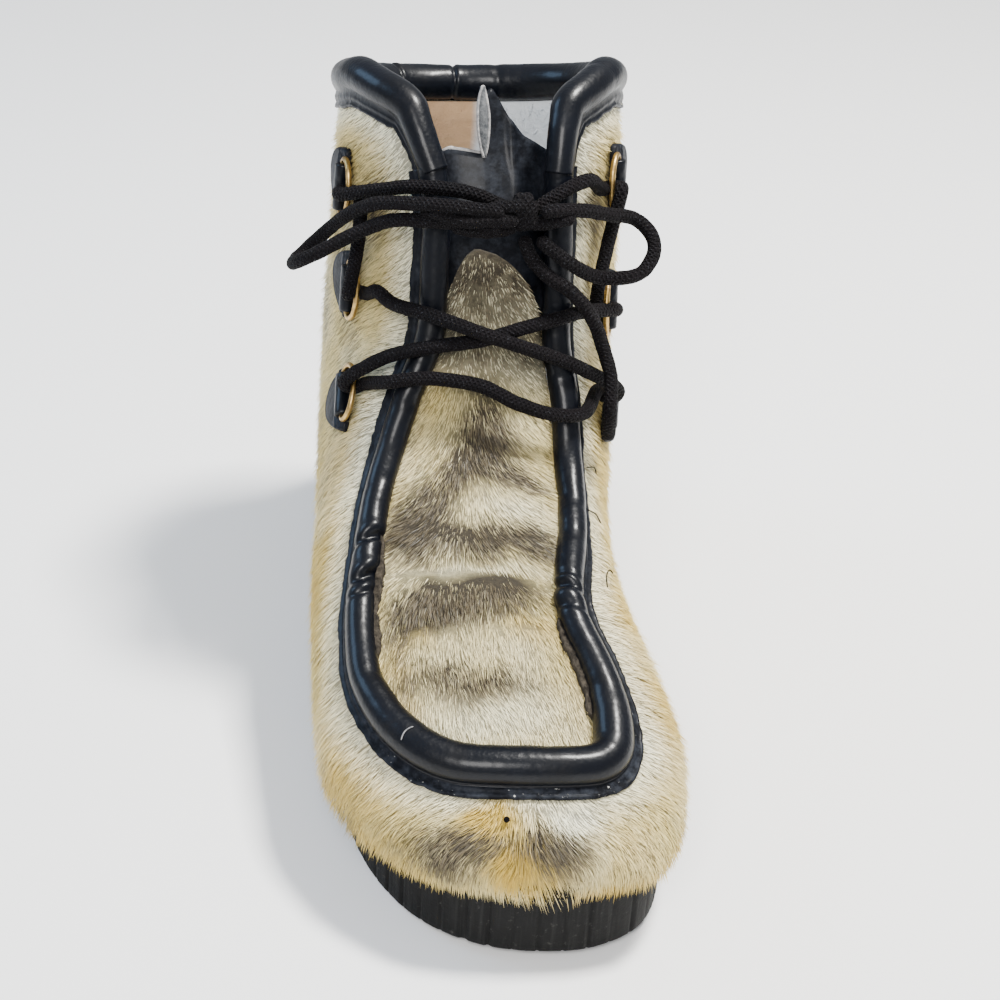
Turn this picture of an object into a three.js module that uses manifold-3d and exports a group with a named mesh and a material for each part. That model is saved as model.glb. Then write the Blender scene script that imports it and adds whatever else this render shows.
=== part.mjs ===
// A right-foot winter boot: a fur upper with a leather collar and piping, on a ribbed rubber cup sole.
// Millimetres. The toe points to -Y, the heel to +Y, the big-toe side is +X, and the floor is z = 0.
import * as THREE from 'three';
import { mergeVertices } from 'three/addons/utils/BufferGeometryUtils.js';
import Module from 'manifold-3d';

const wasm = await Module();
wasm.setup();

// Driving dimensions of the sole
const soleLength = 278;
const soleWidth = 97;
const heelBack = 133;
const footbedAtBall = 13;
const footbedAtHeel = 21;
const rimAtBall = 27;
const rimAtHeel = 34;
const toeSpring = 2.5;
const archLift = 5;
const rimWall = 4.2;
const ribPitch = 7.6;
const ribDepth = 1.1;
const treadDepth = 2.6;
const treadPitch = 11;
const treadGroove = 3.2;
const treadBorder = 9;

// Driving dimensions of the upper
const bootLength = 280;
const bootHeel = 136;
const ballWidth = 112;
const shaftWidth = 101;
const seatHeight = 9;
const instepHeight = 106;
const shaftHeight = 208;
const wall = 6.5;
const welt = 3.4;
const lockHeight = 1.1;
const fringeLength = 8;
const fringePitch = 18;
const fringeThickness = 3.4;

// Driving dimensions of the leather parts
const pipingRadius = 4.6;
const pipingToeSwell = 1.7;
const pipingFlange = 4;
const pipingFlangeThickness = 1.6;
const collarRadius = 6.4;
const collarEndRadius = 4.9;
const collarFlange = 9;
const tongueThickness = 2.6;
const tongueWidth = 58;
const tabLength = 23;
const tabDepth = 15;
const tabThickness = 2;
const tabFoldRadius = 2.7;
const ringWire = 1.9;
const ringBar = 19;
const ringBow = 9;
const laceDiameter = 4.6;
const knotWidth = 9.2;
const knotHeight = 13;
const insoleThickness = 3.2;
const clearance = 0.3;
const facetRoom = 0.8;

// Facets of the large forms
const ringColumns = 28;
const boreColumns = 18;
const outlineSteps = 48;

const leatherBlack = new THREE.MeshStandardMaterial({ color: 0x0d0d0f, roughness: 0.32, metalness: 0 });
const rubberBlack = new THREE.MeshStandardMaterial({ color: 0x17181a, roughness: 0.75, metalness: 0 });
const furCream = new THREE.MeshStandardMaterial({ color: 0xcbb683, roughness: 0.95, metalness: 0 });
const furBand = new THREE.MeshStandardMaterial({ color: 0x9c8d70, roughness: 0.95, metalness: 0 });
const fleece = new THREE.MeshStandardMaterial({ color: 0xd9d2bf, roughness: 1, metalness: 0 });
const brass = new THREE.MeshStandardMaterial({ color: 0x8a6a2c, roughness: 0.35, metalness: 1 });
const braid = new THREE.MeshStandardMaterial({ color: 0x101114, roughness: 0.7, metalness: 0 });

// Solids and their meshes

function toSolid(geometry) {
  const bare = geometry.clone();
  bare.deleteAttribute('normal');
  bare.deleteAttribute('uv');
  const merged = mergeVertices(bare, 1e-4);
  return new wasm.Manifold(new wasm.Mesh({
    numProp: 3,
    vertProperties: Float32Array.from(merged.attributes.position.array),
    triVerts: Uint32Array.from(merged.index.array),
  }));
}

function toGeometry(solid) {
  const mesh = solid.getMesh();
  const geometry = new THREE.BufferGeometry();
  geometry.setAttribute('position', new THREE.BufferAttribute(Float32Array.from(mesh.vertProperties), 3));
  geometry.setIndex(new THREE.BufferAttribute(Uint32Array.from(mesh.triVerts), 1));
  const flat = geometry.toNonIndexed();
  flat.computeVertexNormals();
  return flat;
}

function joined(solids) {
  return solids.reduce((whole, solid) => whole.add(solid));
}

// A closed solid through rings of points, each ring going the same way round, with a fan on each end.
function loft(rings) {
  const columns = rings[0].length;
  const points = rings.flat();
  const middle = (ring) => ring.reduce((sum, point) => sum.add(point), new THREE.Vector3()).divideScalar(columns);
  const first = points.push(middle(rings[0])) - 1;
  const last = points.push(middle(rings[rings.length - 1])) - 1;
  const index = [];
  for (let row = 0; row < rings.length - 1; row += 1) {
    for (let column = 0; column < columns; column += 1) {
      const next = (column + 1) % columns;
      const a = row * columns + column;
      const b = row * columns + next;
      index.push(a, b, b + columns, a, b + columns, a + columns);
    }
  }
  const end = (rings.length - 1) * columns;
  for (let column = 0; column < columns; column += 1) {
    const next = (column + 1) % columns;
    index.push(first, next, column);
    index.push(last, end + column, end + next);
  }
  const geometry = new THREE.BufferGeometry().setFromPoints(points);
  geometry.setIndex(index);
  const solid = toSolid(geometry);
  if (solid.volume() > 0) {
    return solid;
  }
  for (let i = 0; i < index.length; i += 3) {
    [index[i + 1], index[i + 2]] = [index[i + 2], index[i + 1]];
  }
  geometry.setIndex(index);
  return toSolid(geometry);
}

// A prism of a plan outline in X and Y, from z = low to z = high.
function planPrism(outline, low, high) {
  const shape = new THREE.Shape(outline);
  const geometry = new THREE.ExtrudeGeometry(shape, { depth: high - low, bevelEnabled: false });
  geometry.translate(0, 0, low);
  return toSolid(geometry);
}

// The space between two height lines that run along the boot, right across its width.
function heightSlab(lower, upper) {
  const steps = 14;
  const margin = 30;
  const start = heelBack - soleLength - margin;
  const reach = soleLength + 2 * margin;
  const line = (height) => Array.from({ length: steps + 1 }, (_, i) => {
    const y = start + (reach * i) / steps;
    return new THREE.Vector2(y, height(y));
  });
  const shape = new THREE.Shape([...line(lower), ...line(upper).reverse()]);
  const width = 2 * soleWidth;
  const geometry = new THREE.ExtrudeGeometry(shape, { depth: width, bevelEnabled: false });
  const axes = new THREE.Matrix4().makeBasis(
    new THREE.Vector3(0, 1, 0),
    new THREE.Vector3(0, 0, 1),
    new THREE.Vector3(1, 0, 0),
  );
  geometry.applyMatrix4(axes);
  geometry.translate(-width / 2, 0, 0);
  return toSolid(geometry);
}

// A soft step from 0 at low to 1 at high, where high may also be the smaller of the two.
function smooth(low, high, value) {
  return THREE.MathUtils.smoothstep((value - low) / (high - low), 0, 1);
}

// Plan of the sole, as shares: along from the heel to the toe, across of the sole's width, big-toe side first.
const solePlan = [
  { along: 0.000, across: 0.000 },
  { along: 0.035, across: 0.235 },
  { along: 0.120, across: 0.365 },
  { along: 0.250, across: 0.360 },
  { along: 0.420, across: 0.325 },
  { along: 0.560, across: 0.385 },
  { along: 0.700, across: 0.490 },
  { along: 0.800, across: 0.530 },
  { along: 0.880, across: 0.510 },
  { along: 0.955, across: 0.430 },
  { along: 0.990, across: 0.290 },
  { along: 1.000, across: 0.140 },
  { along: 0.990, across: -0.070 },
  { along: 0.950, across: -0.255 },
  { along: 0.872, across: -0.400 },
  { along: 0.760, across: -0.480 },
  { along: 0.620, across: -0.470 },
  { along: 0.450, across: -0.410 },
  { along: 0.280, across: -0.375 },
  { along: 0.130, across: -0.370 },
  { along: 0.035, across: -0.235 },
];

const soleCurve = new THREE.CatmullRomCurve3(
  solePlan.map((row) => new THREE.Vector3(soleWidth * row.across, heelBack - soleLength * row.along, 0)),
  true,
  'centripetal',
);

// The sole's plan moved inwards by inset, at a share of the way round.
function planPoint(share, inset) {
  const point = soleCurve.getPointAt(share % 1);
  const tangent = soleCurve.getTangentAt(share % 1);
  return new THREE.Vector2(point.x + tangent.y * inset, point.y - tangent.x * inset);
}

function planOutline(inset, steps) {
  return Array.from({ length: steps }, (_, i) => planPoint(i / steps, inset));
}

// Height lines of the sole along the boot
const ballLine = heelBack - soleLength * 0.72;
const toeLine = heelBack - soleLength;
const heelBreast = heelBack - soleLength * 0.27;
const archEnd = heelBack - soleLength * 0.46;

function rimTop(y) {
  const heelShare = smooth(ballLine, heelBack, y);
  const toeShare = smooth(ballLine, toeLine, y);
  return rimAtBall + (rimAtHeel - rimAtBall) * heelShare + 1.5 * toeShare;
}

function footbed(y) {
  const heelShare = smooth(ballLine + 20, heelBreast, y);
  const toeShare = smooth(ballLine - 10, toeLine, y);
  return footbedAtBall + (footbedAtHeel - footbedAtBall) * heelShare + 0.7 * toeSpring * toeShare;
}

function soleBottom(y) {
  const toeShare = Math.max(0, (ballLine - 12 - y) / (ballLine - 12 - toeLine));
  const breast = smooth(heelBreast + 3, heelBreast - 3, y);
  const arch = breast * smooth(archEnd - 25, archEnd, y);
  return toeSpring * toeShare * toeShare + archLift * arch;
}

// The cup sole: ribbed round its side, hollow above the footbed, with cross grooves in its tread.
function makeOutsole() {
  const perimeter = soleCurve.getLength();
  const ribs = Math.round(perimeter / ribPitch);
  const ribbed = [];
  for (let i = 0; i < ribs; i += 1) {
    ribbed.push(planPoint((i + 0.14) / ribs, 0));
    ribbed.push(planPoint((i + 0.86) / ribs, 0));
    ribbed.push(planPoint((i + 1) / ribs, ribDepth));
  }
  const tallest = rimAtHeel + 6;
  const ribLow = (y) => soleBottom(y) + 3;
  const ribHigh = (y) => rimTop(y) - 3.5;
  const band = planPrism(ribbed, 0, tallest).intersect(heightSlab(ribLow, ribHigh));
  const core = planPrism(planOutline(ribDepth * 0.6, outlineSteps), 0, tallest)
    .intersect(heightSlab(soleBottom, rimTop));
  const cup = planPrism(planOutline(rimWall, outlineSteps), 0, tallest * 2)
    .intersect(heightSlab(footbed, () => tallest * 2));
  const treadField = planPrism(planOutline(treadBorder, outlineSteps), -tallest, treadDepth);
  const grooves = [];
  const grooveCount = Math.floor((soleLength - 2 * treadBorder) / treadPitch);
  for (let i = 1; i < grooveCount; i += 1) {
    const y = toeLine + treadBorder + i * treadPitch;
    const onArch = y > archEnd - 14 && y < heelBreast + 10;
    if (!onArch) {
      const bar = new THREE.BoxGeometry(soleWidth * 1.4, treadGroove, treadDepth * 2);
      bar.rotateZ(0.12);
      bar.translate(0, y, soleBottom(y));
      grooves.push(toSolid(bar));
    }
  }
  const tread = joined(grooves).intersect(treadField.translate([0, 0, toeSpring]));
  return core.add(band).subtract(cup).subtract(tread);
}

// Sections of the boot. front and back are where a section meets the boot's top or front line and its sole or heel
// line: along is a share of the boot's length from the heel, foot of the instep's height above the seat, and shaft
// of the shaft's height above the instep. medial and lateral are half widths, as shares of the width, which goes
// from the ball's to the shaft's with the column leg. low is how full the section is towards the sole.
const sections = [
  { frontAlong: 1.000, frontFoot: 0.235, frontShaft: 0, backAlong: 1.000, backFoot: 0.195, backShaft: 0, medial: 0.190, lateral: -0.060, leg: 0, low: 2.0 },
  { frontAlong: 0.996, frontFoot: 0.300, frontShaft: 0, backAlong: 0.998, backFoot: 0.120, backShaft: 0, medial: 0.290, lateral: 0.080, leg: 0, low: 2.2 },
  { frontAlong: 0.985, frontFoot: 0.345, frontShaft: 0, backAlong: 0.989, backFoot: 0.070, backShaft: 0, medial: 0.365, lateral: 0.185, leg: 0, low: 2.4 },
  { frontAlong: 0.962, frontFoot: 0.385, frontShaft: 0, backAlong: 0.968, backFoot: 0.035, backShaft: 0, medial: 0.415, lateral: 0.268, leg: 0, low: 2.6 },
  { frontAlong: 0.928, frontFoot: 0.430, frontShaft: 0, backAlong: 0.935, backFoot: 0.010, backShaft: 0, medial: 0.458, lateral: 0.350, leg: 0, low: 2.7 },
  { frontAlong: 0.880, frontFoot: 0.490, frontShaft: 0, backAlong: 0.885, backFoot: 0, backShaft: 0, medial: 0.488, lateral: 0.425, leg: 0, low: 2.8 },
  { frontAlong: 0.820, frontFoot: 0.560, frontShaft: 0, backAlong: 0.825, backFoot: 0, backShaft: 0, medial: 0.500, lateral: 0.480, leg: 0, low: 2.8 },
  { frontAlong: 0.745, frontFoot: 0.645, frontShaft: 0, backAlong: 0.745, backFoot: 0, backShaft: 0, medial: 0.470, lateral: 0.500, leg: 0, low: 2.7 },
  { frontAlong: 0.665, frontFoot: 0.740, frontShaft: 0, backAlong: 0.655, backFoot: 0, backShaft: 0, medial: 0.420, lateral: 0.505, leg: 0, low: 2.6 },
  { frontAlong: 0.590, frontFoot: 0.845, frontShaft: 0, backAlong: 0.555, backFoot: 0.010, backShaft: 0, medial: 0.385, lateral: 0.505, leg: 0, low: 2.6 },
  { frontAlong: 0.535, frontFoot: 0.940, frontShaft: 0, backAlong: 0.440, backFoot: 0.030, backShaft: 0, medial: 0.390, lateral: 0.500, leg: 0.1, low: 2.7 },
  { frontAlong: 0.497, frontFoot: 1, frontShaft: 0.08, backAlong: 0.300, backFoot: 0.050, backShaft: 0, medial: 0.420, lateral: 0.500, leg: 0.25, low: 2.8 },
  { frontAlong: 0.472, frontFoot: 1, frontShaft: 0.18, backAlong: 0.160, backFoot: 0.070, backShaft: 0, medial: 0.450, lateral: 0.505, leg: 0.45, low: 2.8 },
  { frontAlong: 0.455, frontFoot: 1, frontShaft: 0.29, backAlong: 0.055, backFoot: 0.150, backShaft: 0, medial: 0.470, lateral: 0.510, leg: 0.7, low: 2.7 },
  { frontAlong: 0.440, frontFoot: 1, frontShaft: 0.42, backAlong: 0.006, backFoot: 0.340, backShaft: 0, medial: 0.480, lateral: 0.515, leg: 0.9, low: 2.5 },
  { frontAlong: 0.423, frontFoot: 1, frontShaft: 0.56, backAlong: 0.008, backFoot: 0.640, backShaft: 0, medial: 0.490, lateral: 0.510, leg: 1, low: 2.3 },
  { frontAlong: 0.402, frontFoot: 1, frontShaft: 0.71, backAlong: 0.032, backFoot: 0.900, backShaft: 0.03, medial: 0.490, lateral: 0.495, leg: 1, low: 2.25 },
  { frontAlong: 0.378, frontFoot: 1, frontShaft: 0.87, backAlong: 0.052, backFoot: 1, backShaft: 0.36, medial: 0.475, lateral: 0.480, leg: 1, low: 2.2 },
  { frontAlong: 0.355, frontFoot: 1, frontShaft: 1.02, backAlong: 0.064, backFoot: 1, backShaft: 0.78, medial: 0.445, lateral: 0.465, leg: 1, low: 2.2 },
];

function sectionLine(toVector) {
  return new THREE.CatmullRomCurve3(sections.map(toVector), false, 'catmullrom', 0.5);
}

function heightOf(foot, shaft) {
  return seatHeight + (instepHeight - seatHeight) * foot + (shaftHeight - instepHeight) * shaft;
}

const frontLine = sectionLine((row) => (
  new THREE.Vector3(0, bootHeel - bootLength * row.frontAlong, heightOf(row.frontFoot, row.frontShaft))));
const backLine = sectionLine((row) => (
  new THREE.Vector3(0, bootHeel - bootLength * row.backAlong, heightOf(row.backFoot, row.backShaft))));
const widthLine = sectionLine((row) => {
  const width = THREE.MathUtils.lerp(ballWidth, shaftWidth, row.leg);
  return new THREE.Vector3(width * row.medial, width * row.lateral, row.low);
});

const upperFullness = 2.15;

// A station runs from 0 at the toe tip to 1 at the collar. Past 1 the section keeps going up in a straight line.
function sectionAt(station) {
  const inside = Math.min(station, 1);
  const front = frontLine.getPoint(inside);
  const back = backLine.getPoint(inside);
  const size = widthLine.getPoint(inside);
  if (station > 1) {
    const rise = new THREE.Vector3(0, 0, (station - 1) * shaftHeight);
    front.add(rise);
    back.add(rise);
  }
  const across = (size.x - size.y) / 2;
  return {
    centre: new THREE.Vector3(across, (front.y + back.y) / 2, (front.z + back.z) / 2),
    arm: front.clone().sub(back).divideScalar(2).setX(0),
    half: (size.x + size.y) / 2,
    low: size.z,
  };
}

function power(value, exponent) {
  return Math.sign(value) * Math.abs(value) ** exponent;
}

// A point of the boot's skin. The angle is 0 at the big-toe side and 90 degrees on the front line.
function skin(station, angle) {
  const section = sectionAt(station);
  const sine = Math.sin(angle);
  const exponent = 2 / (sine < 0 ? section.low : upperFullness);
  return section.centre.clone()
    .addScaledVector(section.arm, power(sine, exponent))
    .add(new THREE.Vector3(section.half * power(Math.cos(angle), exponent), 0, 0));
}

function skinNormal(station, angle) {
  const step = 0.004;
  const turn = 0.03;
  const first = Math.max(station - step, 0.004);
  const along = skin(first + 2 * step, angle).sub(skin(first, angle));
  const round = skin(station, angle + turn).sub(skin(station, angle - turn));
  return along.cross(round).normalize();
}

// A point above the skin by lift, or inside it where lift is below 0.
function lifted(station, angle, lift) {
  return skin(station, angle).addScaledVector(skinNormal(station, angle), lift);
}

// The angle on the front half of a section where the skin lies at x.
function angleAt(station, x) {
  const section = sectionAt(station);
  const share = THREE.MathUtils.clamp((x - section.centre.x) / section.half, -0.98, 0.98);
  return Math.acos(power(share, upperFullness / 2));
}

function overFront(station, x, lift) {
  return lifted(station, angleAt(station, x), lift);
}

// Stations from the toe to a last one, closer together at the toe tip.
function stationList(count, last) {
  return Array.from({ length: count }, (_, i) => {
    const share = i / (count - 1);
    return last * (0.25 * share * share + 0.75 * share);
  });
}

function skinForm(rows, columns, last, lift, relief) {
  const rings = stationList(rows, last).map((station, row) => (
    Array.from({ length: columns }, (_, column) => {
      const angle = (2 * Math.PI * column) / columns;
      return lifted(station, angle, lift + relief(row, column, station));
    })));
  return loft(rings);
}

// Locks of the fur: ridges that lie along the hair, stepped from one row to the next.
function locks(row, column, station) {
  const ridge = (column + Math.floor(row / 3)) % 2 === 0 ? 1 : 0;
  const step = (row % 3) / 3;
  const fade = smooth(0.02, 0.1, station) * (1 - smooth(0.97, 1, station));
  return -lockHeight * fade * (0.6 * (1 - ridge) + 0.4 * step);
}

function noRelief() {
  return 0;
}

// The throat and the apron, from the toe to the collar: station, and how far each seam lies from x = 0, in shares
// of the width at the ball.
const seamTable = [
  { station: 0.240, lateral: -0.040, medial: 0.170 },
  { station: 0.247, lateral: -0.120, medial: 0.225 },
  { station: 0.263, lateral: -0.190, medial: 0.265 },
  { station: 0.289, lateral: -0.260, medial: 0.285 },
  { station: 0.332, lateral: -0.330, medial: 0.272 },
  { station: 0.371, lateral: -0.366, medial: 0.235 },
  { station: 0.410, lateral: -0.370, medial: 0.190 },
  { station: 0.447, lateral: -0.352, medial: 0.213 },
  { station: 0.507, lateral: -0.315, medial: 0.235 },
  { station: 0.546, lateral: -0.285, medial: 0.230 },
  { station: 0.594, lateral: -0.240, medial: 0.225 },
  { station: 0.655, lateral: -0.188, medial: 0.210 },
  { station: 0.720, lateral: -0.155, medial: 0.195 },
  { station: 0.800, lateral: -0.150, medial: 0.195 },
  { station: 0.860, lateral: -0.145, medial: 0.185 },
  { station: 0.900, lateral: -0.168, medial: 0.190 },
  { station: 0.945, lateral: -0.218, medial: 0.218 },
  { station: 0.978, lateral: -0.295, medial: 0.285 },
  { station: 1.000, lateral: -0.390, medial: 0.365 },
];

const lateralSeam = new THREE.CatmullRomCurve3(
  seamTable.map((row) => new THREE.Vector3(row.station, ballWidth * row.lateral, 0)),
  false,
  'centripetal',
);
const medialSeam = new THREE.CatmullRomCurve3(
  seamTable.map((row) => new THREE.Vector3(row.station, ballWidth * row.medial, 0)),
  false,
  'centripetal',
);

// The seam's x at a station, by stepping along the curve.
function seamX(curve, station) {
  let low = 0;
  let high = 1;
  for (let i = 0; i < 24; i += 1) {
    const middle = (low + high) / 2;
    if (curve.getPoint(middle).x < station) {
      low = middle;
    } else {
      high = middle;
    }
  }
  return curve.getPoint((low + high) / 2).y;
}

// Steps over the skin from a place by a vector, and gives the place that it reaches.
function slide(place, vector) {
  const parts = 3;
  const step = 0.002;
  const turn = 0.02;
  let { station, angle } = place;
  for (let i = 0; i < parts; i += 1) {
    const along = skin(station + step, angle).sub(skin(station - step, angle)).divideScalar(2 * step);
    const round = skin(station, angle + turn).sub(skin(station, angle - turn)).divideScalar(2 * turn);
    const aa = along.dot(along);
    const ab = along.dot(round);
    const bb = round.dot(round);
    const va = along.dot(vector) / parts;
    const vb = round.dot(vector) / parts;
    const whole = aa * bb - ab * ab;
    station += (va * bb - vb * ab) / whole;
    angle += (vb * aa - va * ab) / whole;
  }
  return { station, angle };
}

function placeOnFront(station, x) {
  return { station, angle: angleAt(station, x) };
}

function liftedPlace(place, lift) {
  return lifted(place.station, place.angle, lift);
}

// A thick patch that follows the skin between two lines of x, from one lift to another.
function frontPatch(stations, lateralX, medialX, low, high, columns) {
  const rings = stations.map((station) => {
    const under = [];
    const over = [];
    for (let column = 0; column <= columns; column += 1) {
      const x = THREE.MathUtils.lerp(lateralX(station), medialX(station), column / columns);
      under.push(overFront(station, x, low(station)));
      over.push(overFront(station, x, high(station)));
    }
    return [...under, ...over.reverse()];
  });
  return loft(rings);
}

function spread(first, last, count) {
  return Array.from({ length: count }, (_, i) => THREE.MathUtils.lerp(first, last, i / (count - 1)));
}

// A leather roll with a flange along one side, swept over the skin through places. The roll's centre is lifted off
// the skin by seat, and the flange lies on the skin on the side away from the opening. grow swells the whole form.
function rollForm(rows, grow) {
  const arcSteps = 6;
  const rings = rows.map((row, i) => {
    const before = rows[Math.max(i - 1, 0)];
    const after = rows[Math.min(i + 1, rows.length - 1)];
    const normal = skinNormal(row.place.station, row.place.angle);
    const tangent = skin(after.place.station, after.place.angle)
      .sub(skin(before.place.station, before.place.angle))
      .normalize();
    const side = normal.clone().cross(tangent).normalize();
    const radius = row.radius + grow;
    const centre = liftedPlace(row.place, row.seat);
    const flangeHigh = row.flangeLow + row.flangeThickness + grow;
    const flangeLow = row.flangeLow - grow;
    const first = Math.asin(THREE.MathUtils.clamp((flangeHigh - row.seat) / radius, -0.9, 0.9));
    const last = 2 * Math.PI + Math.asin(THREE.MathUtils.clamp((flangeLow - row.seat) / radius, -0.95, 0.85));
    const ring = [];
    for (let step = 0; step <= arcSteps; step += 1) {
      const turn = THREE.MathUtils.lerp(first, last, step / arcSteps);
      ring.push(centre.clone()
        .addScaledVector(side, radius * Math.cos(turn))
        .addScaledVector(normal, radius * Math.sin(turn)));
    }
    const reach = Math.sqrt(Math.max(row.radius ** 2 - row.seat ** 2, 1)) + row.flange + grow;
    const tip = slide(row.place, side.clone().multiplyScalar(reach));
    ring.push(liftedPlace(tip, flangeLow));
    ring.push(liftedPlace(tip, flangeHigh));
    return ring;
  });
  const whole = rings.slice();
  if (grow > 0) {
    const extend = (from, to) => from.map((point, i) => point.clone().add(
      point.clone().sub(to[i]).setLength(2 * grow)));
    whole.unshift(extend(rings[0], rings[1]));
    whole.push(extend(rings[rings.length - 1], rings[rings.length - 2]));
  }
  return loft(whole);
}

const firstSeam = seamTable[0].station;
const collarMeet = 0.9;
const collarTop = 0.985;

function lateralX(station) {
  return seamX(lateralSeam, station);
}

function medialX(station) {
  return seamX(medialSeam, station);
}

// The apron and throat piping, from the medial end of the collar round the toe to the lateral end.
function pipingRows() {
  const stations = [
    ...spread(collarMeet - 0.004, 0.42, 12),
    ...spread(0.39, 0.275, 5),
    0.258,
    0.248,
    0.242,
  ];
  const lateral = stations.map((station) => placeOnFront(station, lateralX(station)));
  const medial = stations.map((station) => placeOnFront(station, medialX(station))).reverse();
  const low = lateralX(firstSeam);
  const high = medialX(firstSeam);
  const front = [0.3, 0.7].map((share) => placeOnFront(firstSeam - 0.002, THREE.MathUtils.lerp(low, high, share)));
  const toeReach = 0.42;
  return [...lateral, ...front, ...medial].reverse().map((place) => {
    const toeShare = 1 - smooth(firstSeam, toeReach, place.station);
    return {
      place,
      radius: pipingRadius + pipingToeSwell * toeShare,
      seat: pipingRadius * 0.35,
      flange: pipingFlange,
      flangeLow: -0.5,
      flangeThickness: pipingFlangeThickness,
    };
  });
}

// The collar roll, down the lateral edge of the throat, round the top edge and down the medial edge.
function collarRows() {
  const edge = [collarMeet + 0.006, 0.925, 0.945, 0.962];
  const top = collarTop;
  const lateral = edge.map((station) => placeOnFront(station, lateralX(station)));
  const medial = edge.map((station) => placeOnFront(station, medialX(station))).reverse();
  const start = angleAt(top, lateralX(0.99)) + 0.12;
  const end = angleAt(top, medialX(0.99)) + 2 * Math.PI - 0.12;
  const round = spread(start, end, 19).map((angle) => ({ station: top, angle }));
  const rows = [...lateral, ...round, ...medial];
  return rows.map((place, i) => {
    const fromEnd = Math.min(i, rows.length - 1 - i);
    const full = smooth(0, edge.length + 1, fromEnd);
    return {
      place,
      radius: THREE.MathUtils.lerp(collarEndRadius, collarRadius, full),
      seat: THREE.MathUtils.lerp(pipingRadius * 0.35, -wall / 2, full),
      flange: THREE.MathUtils.lerp(pipingFlange, collarFlange, full) * 0.5,
      flangeLow: -0.4,
      flangeThickness: pipingFlangeThickness,
    };
  });
}

const furForm = skinForm(25, ringColumns, collarTop, 0, locks);
const boreForm = skinForm(15, boreColumns, 1.06, -wall, noRelief);
const outside = furForm.subtract(boreForm);
const piping = rollForm(pipingRows(), 0);
const pipingSpace = rollForm(pipingRows(), clearance);
const collar = rollForm(collarRows(), 0);
const collarSpace = rollForm(collarRows(), clearance);

const soleSpace = planPrism(planOutline(-clearance - facetRoom, outlineSteps), -20, 60)
  .subtract(planPrism(planOutline(rimWall + clearance, outlineSteps), -30, 70))
  .intersect(heightSlab(() => -20, (y) => rimTop(y) + clearance));
const underFoot = heightSlab(() => -60, (y) => footbed(y) + clearance);
const footOpening = planPrism(planOutline(rimWall + clearance + welt, outlineSteps), -20, 60)
  .intersect(heightSlab(() => -20, (y) => rimTop(y) - 2));

// Where the fur hangs over the sole's rim: places on the skin at a height over the rim, on one side of the boot.
function rimPlaces(side) {
  const rise = 3;
  const places = [];
  for (const station of spread(0.01, 0.76, 240)) {
    let low = -Math.PI / 2;
    let high = 1.4;
    const at = (angle) => (side > 0 ? angle : Math.PI - angle);
    const over = (angle) => {
      const point = skin(station, at(angle));
      return point.z - rimTop(point.y) - rise;
    };
    if (over(low) < 0 && over(high) > 0) {
      for (let i = 0; i < 20; i += 1) {
        const middle = (low + high) / 2;
        if (over(middle) > 0) {
          high = middle;
        } else {
          low = middle;
        }
      }
      places.push({ station, angle: at(low) });
    }
  }
  return places;
}

// A row of pointed locks that hang from the lower edge of the fur, over the rim of the sole.
function makeFringe() {
  const solids = [];
  for (const side of [1, -1]) {
    const places = rimPlaces(side);
    let travelled = fringePitch;
    let last = liftedPlace(places[0], 0);
    for (const place of places) {
      const point = liftedPlace(place, -fringeThickness * 0.3);
      travelled += point.distanceTo(last);
      if (travelled > fringePitch) {
        travelled = 0;
        const out = skinNormal(place.station, place.angle).setZ(0).normalize();
        const drop = new THREE.Vector3(0, 0, -fringeLength).addScaledVector(out, 1);
        const across = drop.clone().cross(out).normalize();
        const cone = new THREE.ConeGeometry(1, 1, 4);
        cone.translate(0, 0.5, 0);
        cone.applyMatrix4(new THREE.Matrix4()
          .makeBasis(across.multiplyScalar(fringePitch * 0.56), drop, out.multiplyScalar(fringeThickness / 2))
          .setPosition(point));
        solids.push(toSolid(cone));
      }
      last = point;
    }
  }
  return joined(solids);
}

const seamStations = [firstSeam, 0.243, 0.248, 0.256, 0.27, 0.29, ...spread(0.32, 0.59, 6)];

function makeUpper() {
  const stations = [...seamStations, ...spread(0.64, 1.08, 7)];
  const throat = frontPatch(
    stations,
    (station) => lateralX(station) - clearance,
    (station) => medialX(station) + clearance,
    () => -2 * wall,
    () => 2 * wall,
    3,
  );
  return outside
    .add(makeFringe())
    .subtract(throat)
    .subtract(pipingSpace)
    .subtract(collarSpace)
    .subtract(soleSpace)
    .subtract(underFoot)
    .subtract(footOpening);
}

// The apron: a fur panel from the toe seam up into the throat, where it ends in a rounded tip beside the lateral roll.
function makeApron() {
  const throatFoot = 0.5;
  const round = 0.68;
  const tip = 0.8;
  const tipShare = 0.3;
  const stations = [...seamStations.slice(1), ...spread(0.64, round, 2), ...spread(0.72, tip, 5)];
  const margin = (station) => {
    const throatMargin = 2.2 * smooth(throatFoot, throatFoot + 0.1, station);
    const toeMargin = 3 * (1 - smooth(firstSeam, firstSeam + 0.01, station));
    return clearance + throatMargin + toeMargin;
  };
  const width = (station) => {
    const past = Math.max(0, station - round) / (tip - round);
    return Math.sqrt(Math.max(0.004, 1 - past * past));
  };
  const edge = (side) => (station) => {
    const low = lateralX(station) + margin(station);
    const high = medialX(station) - margin(station);
    const middle = THREE.MathUtils.lerp(low, high, tipShare);
    return THREE.MathUtils.lerp(middle, side < 0 ? low : high, width(station));
  };
  const panel = frontPatch(stations, edge(-1), edge(1), () => -wall, () => 0, 4);
  return panel.subtract(pipingSpace);
}

// How high the tongue's top edge stands, by the share of its width from the lateral edge. It is folded in the middle.
const tongueEdge = [
  { across: 0.00, station: 0.870 },
  { across: 0.20, station: 0.885 },
  { across: 0.44, station: 0.885 },
  { across: 0.50, station: 0.965 },
  { across: 0.75, station: 0.945 },
  { across: 1.00, station: 0.920 },
];

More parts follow.
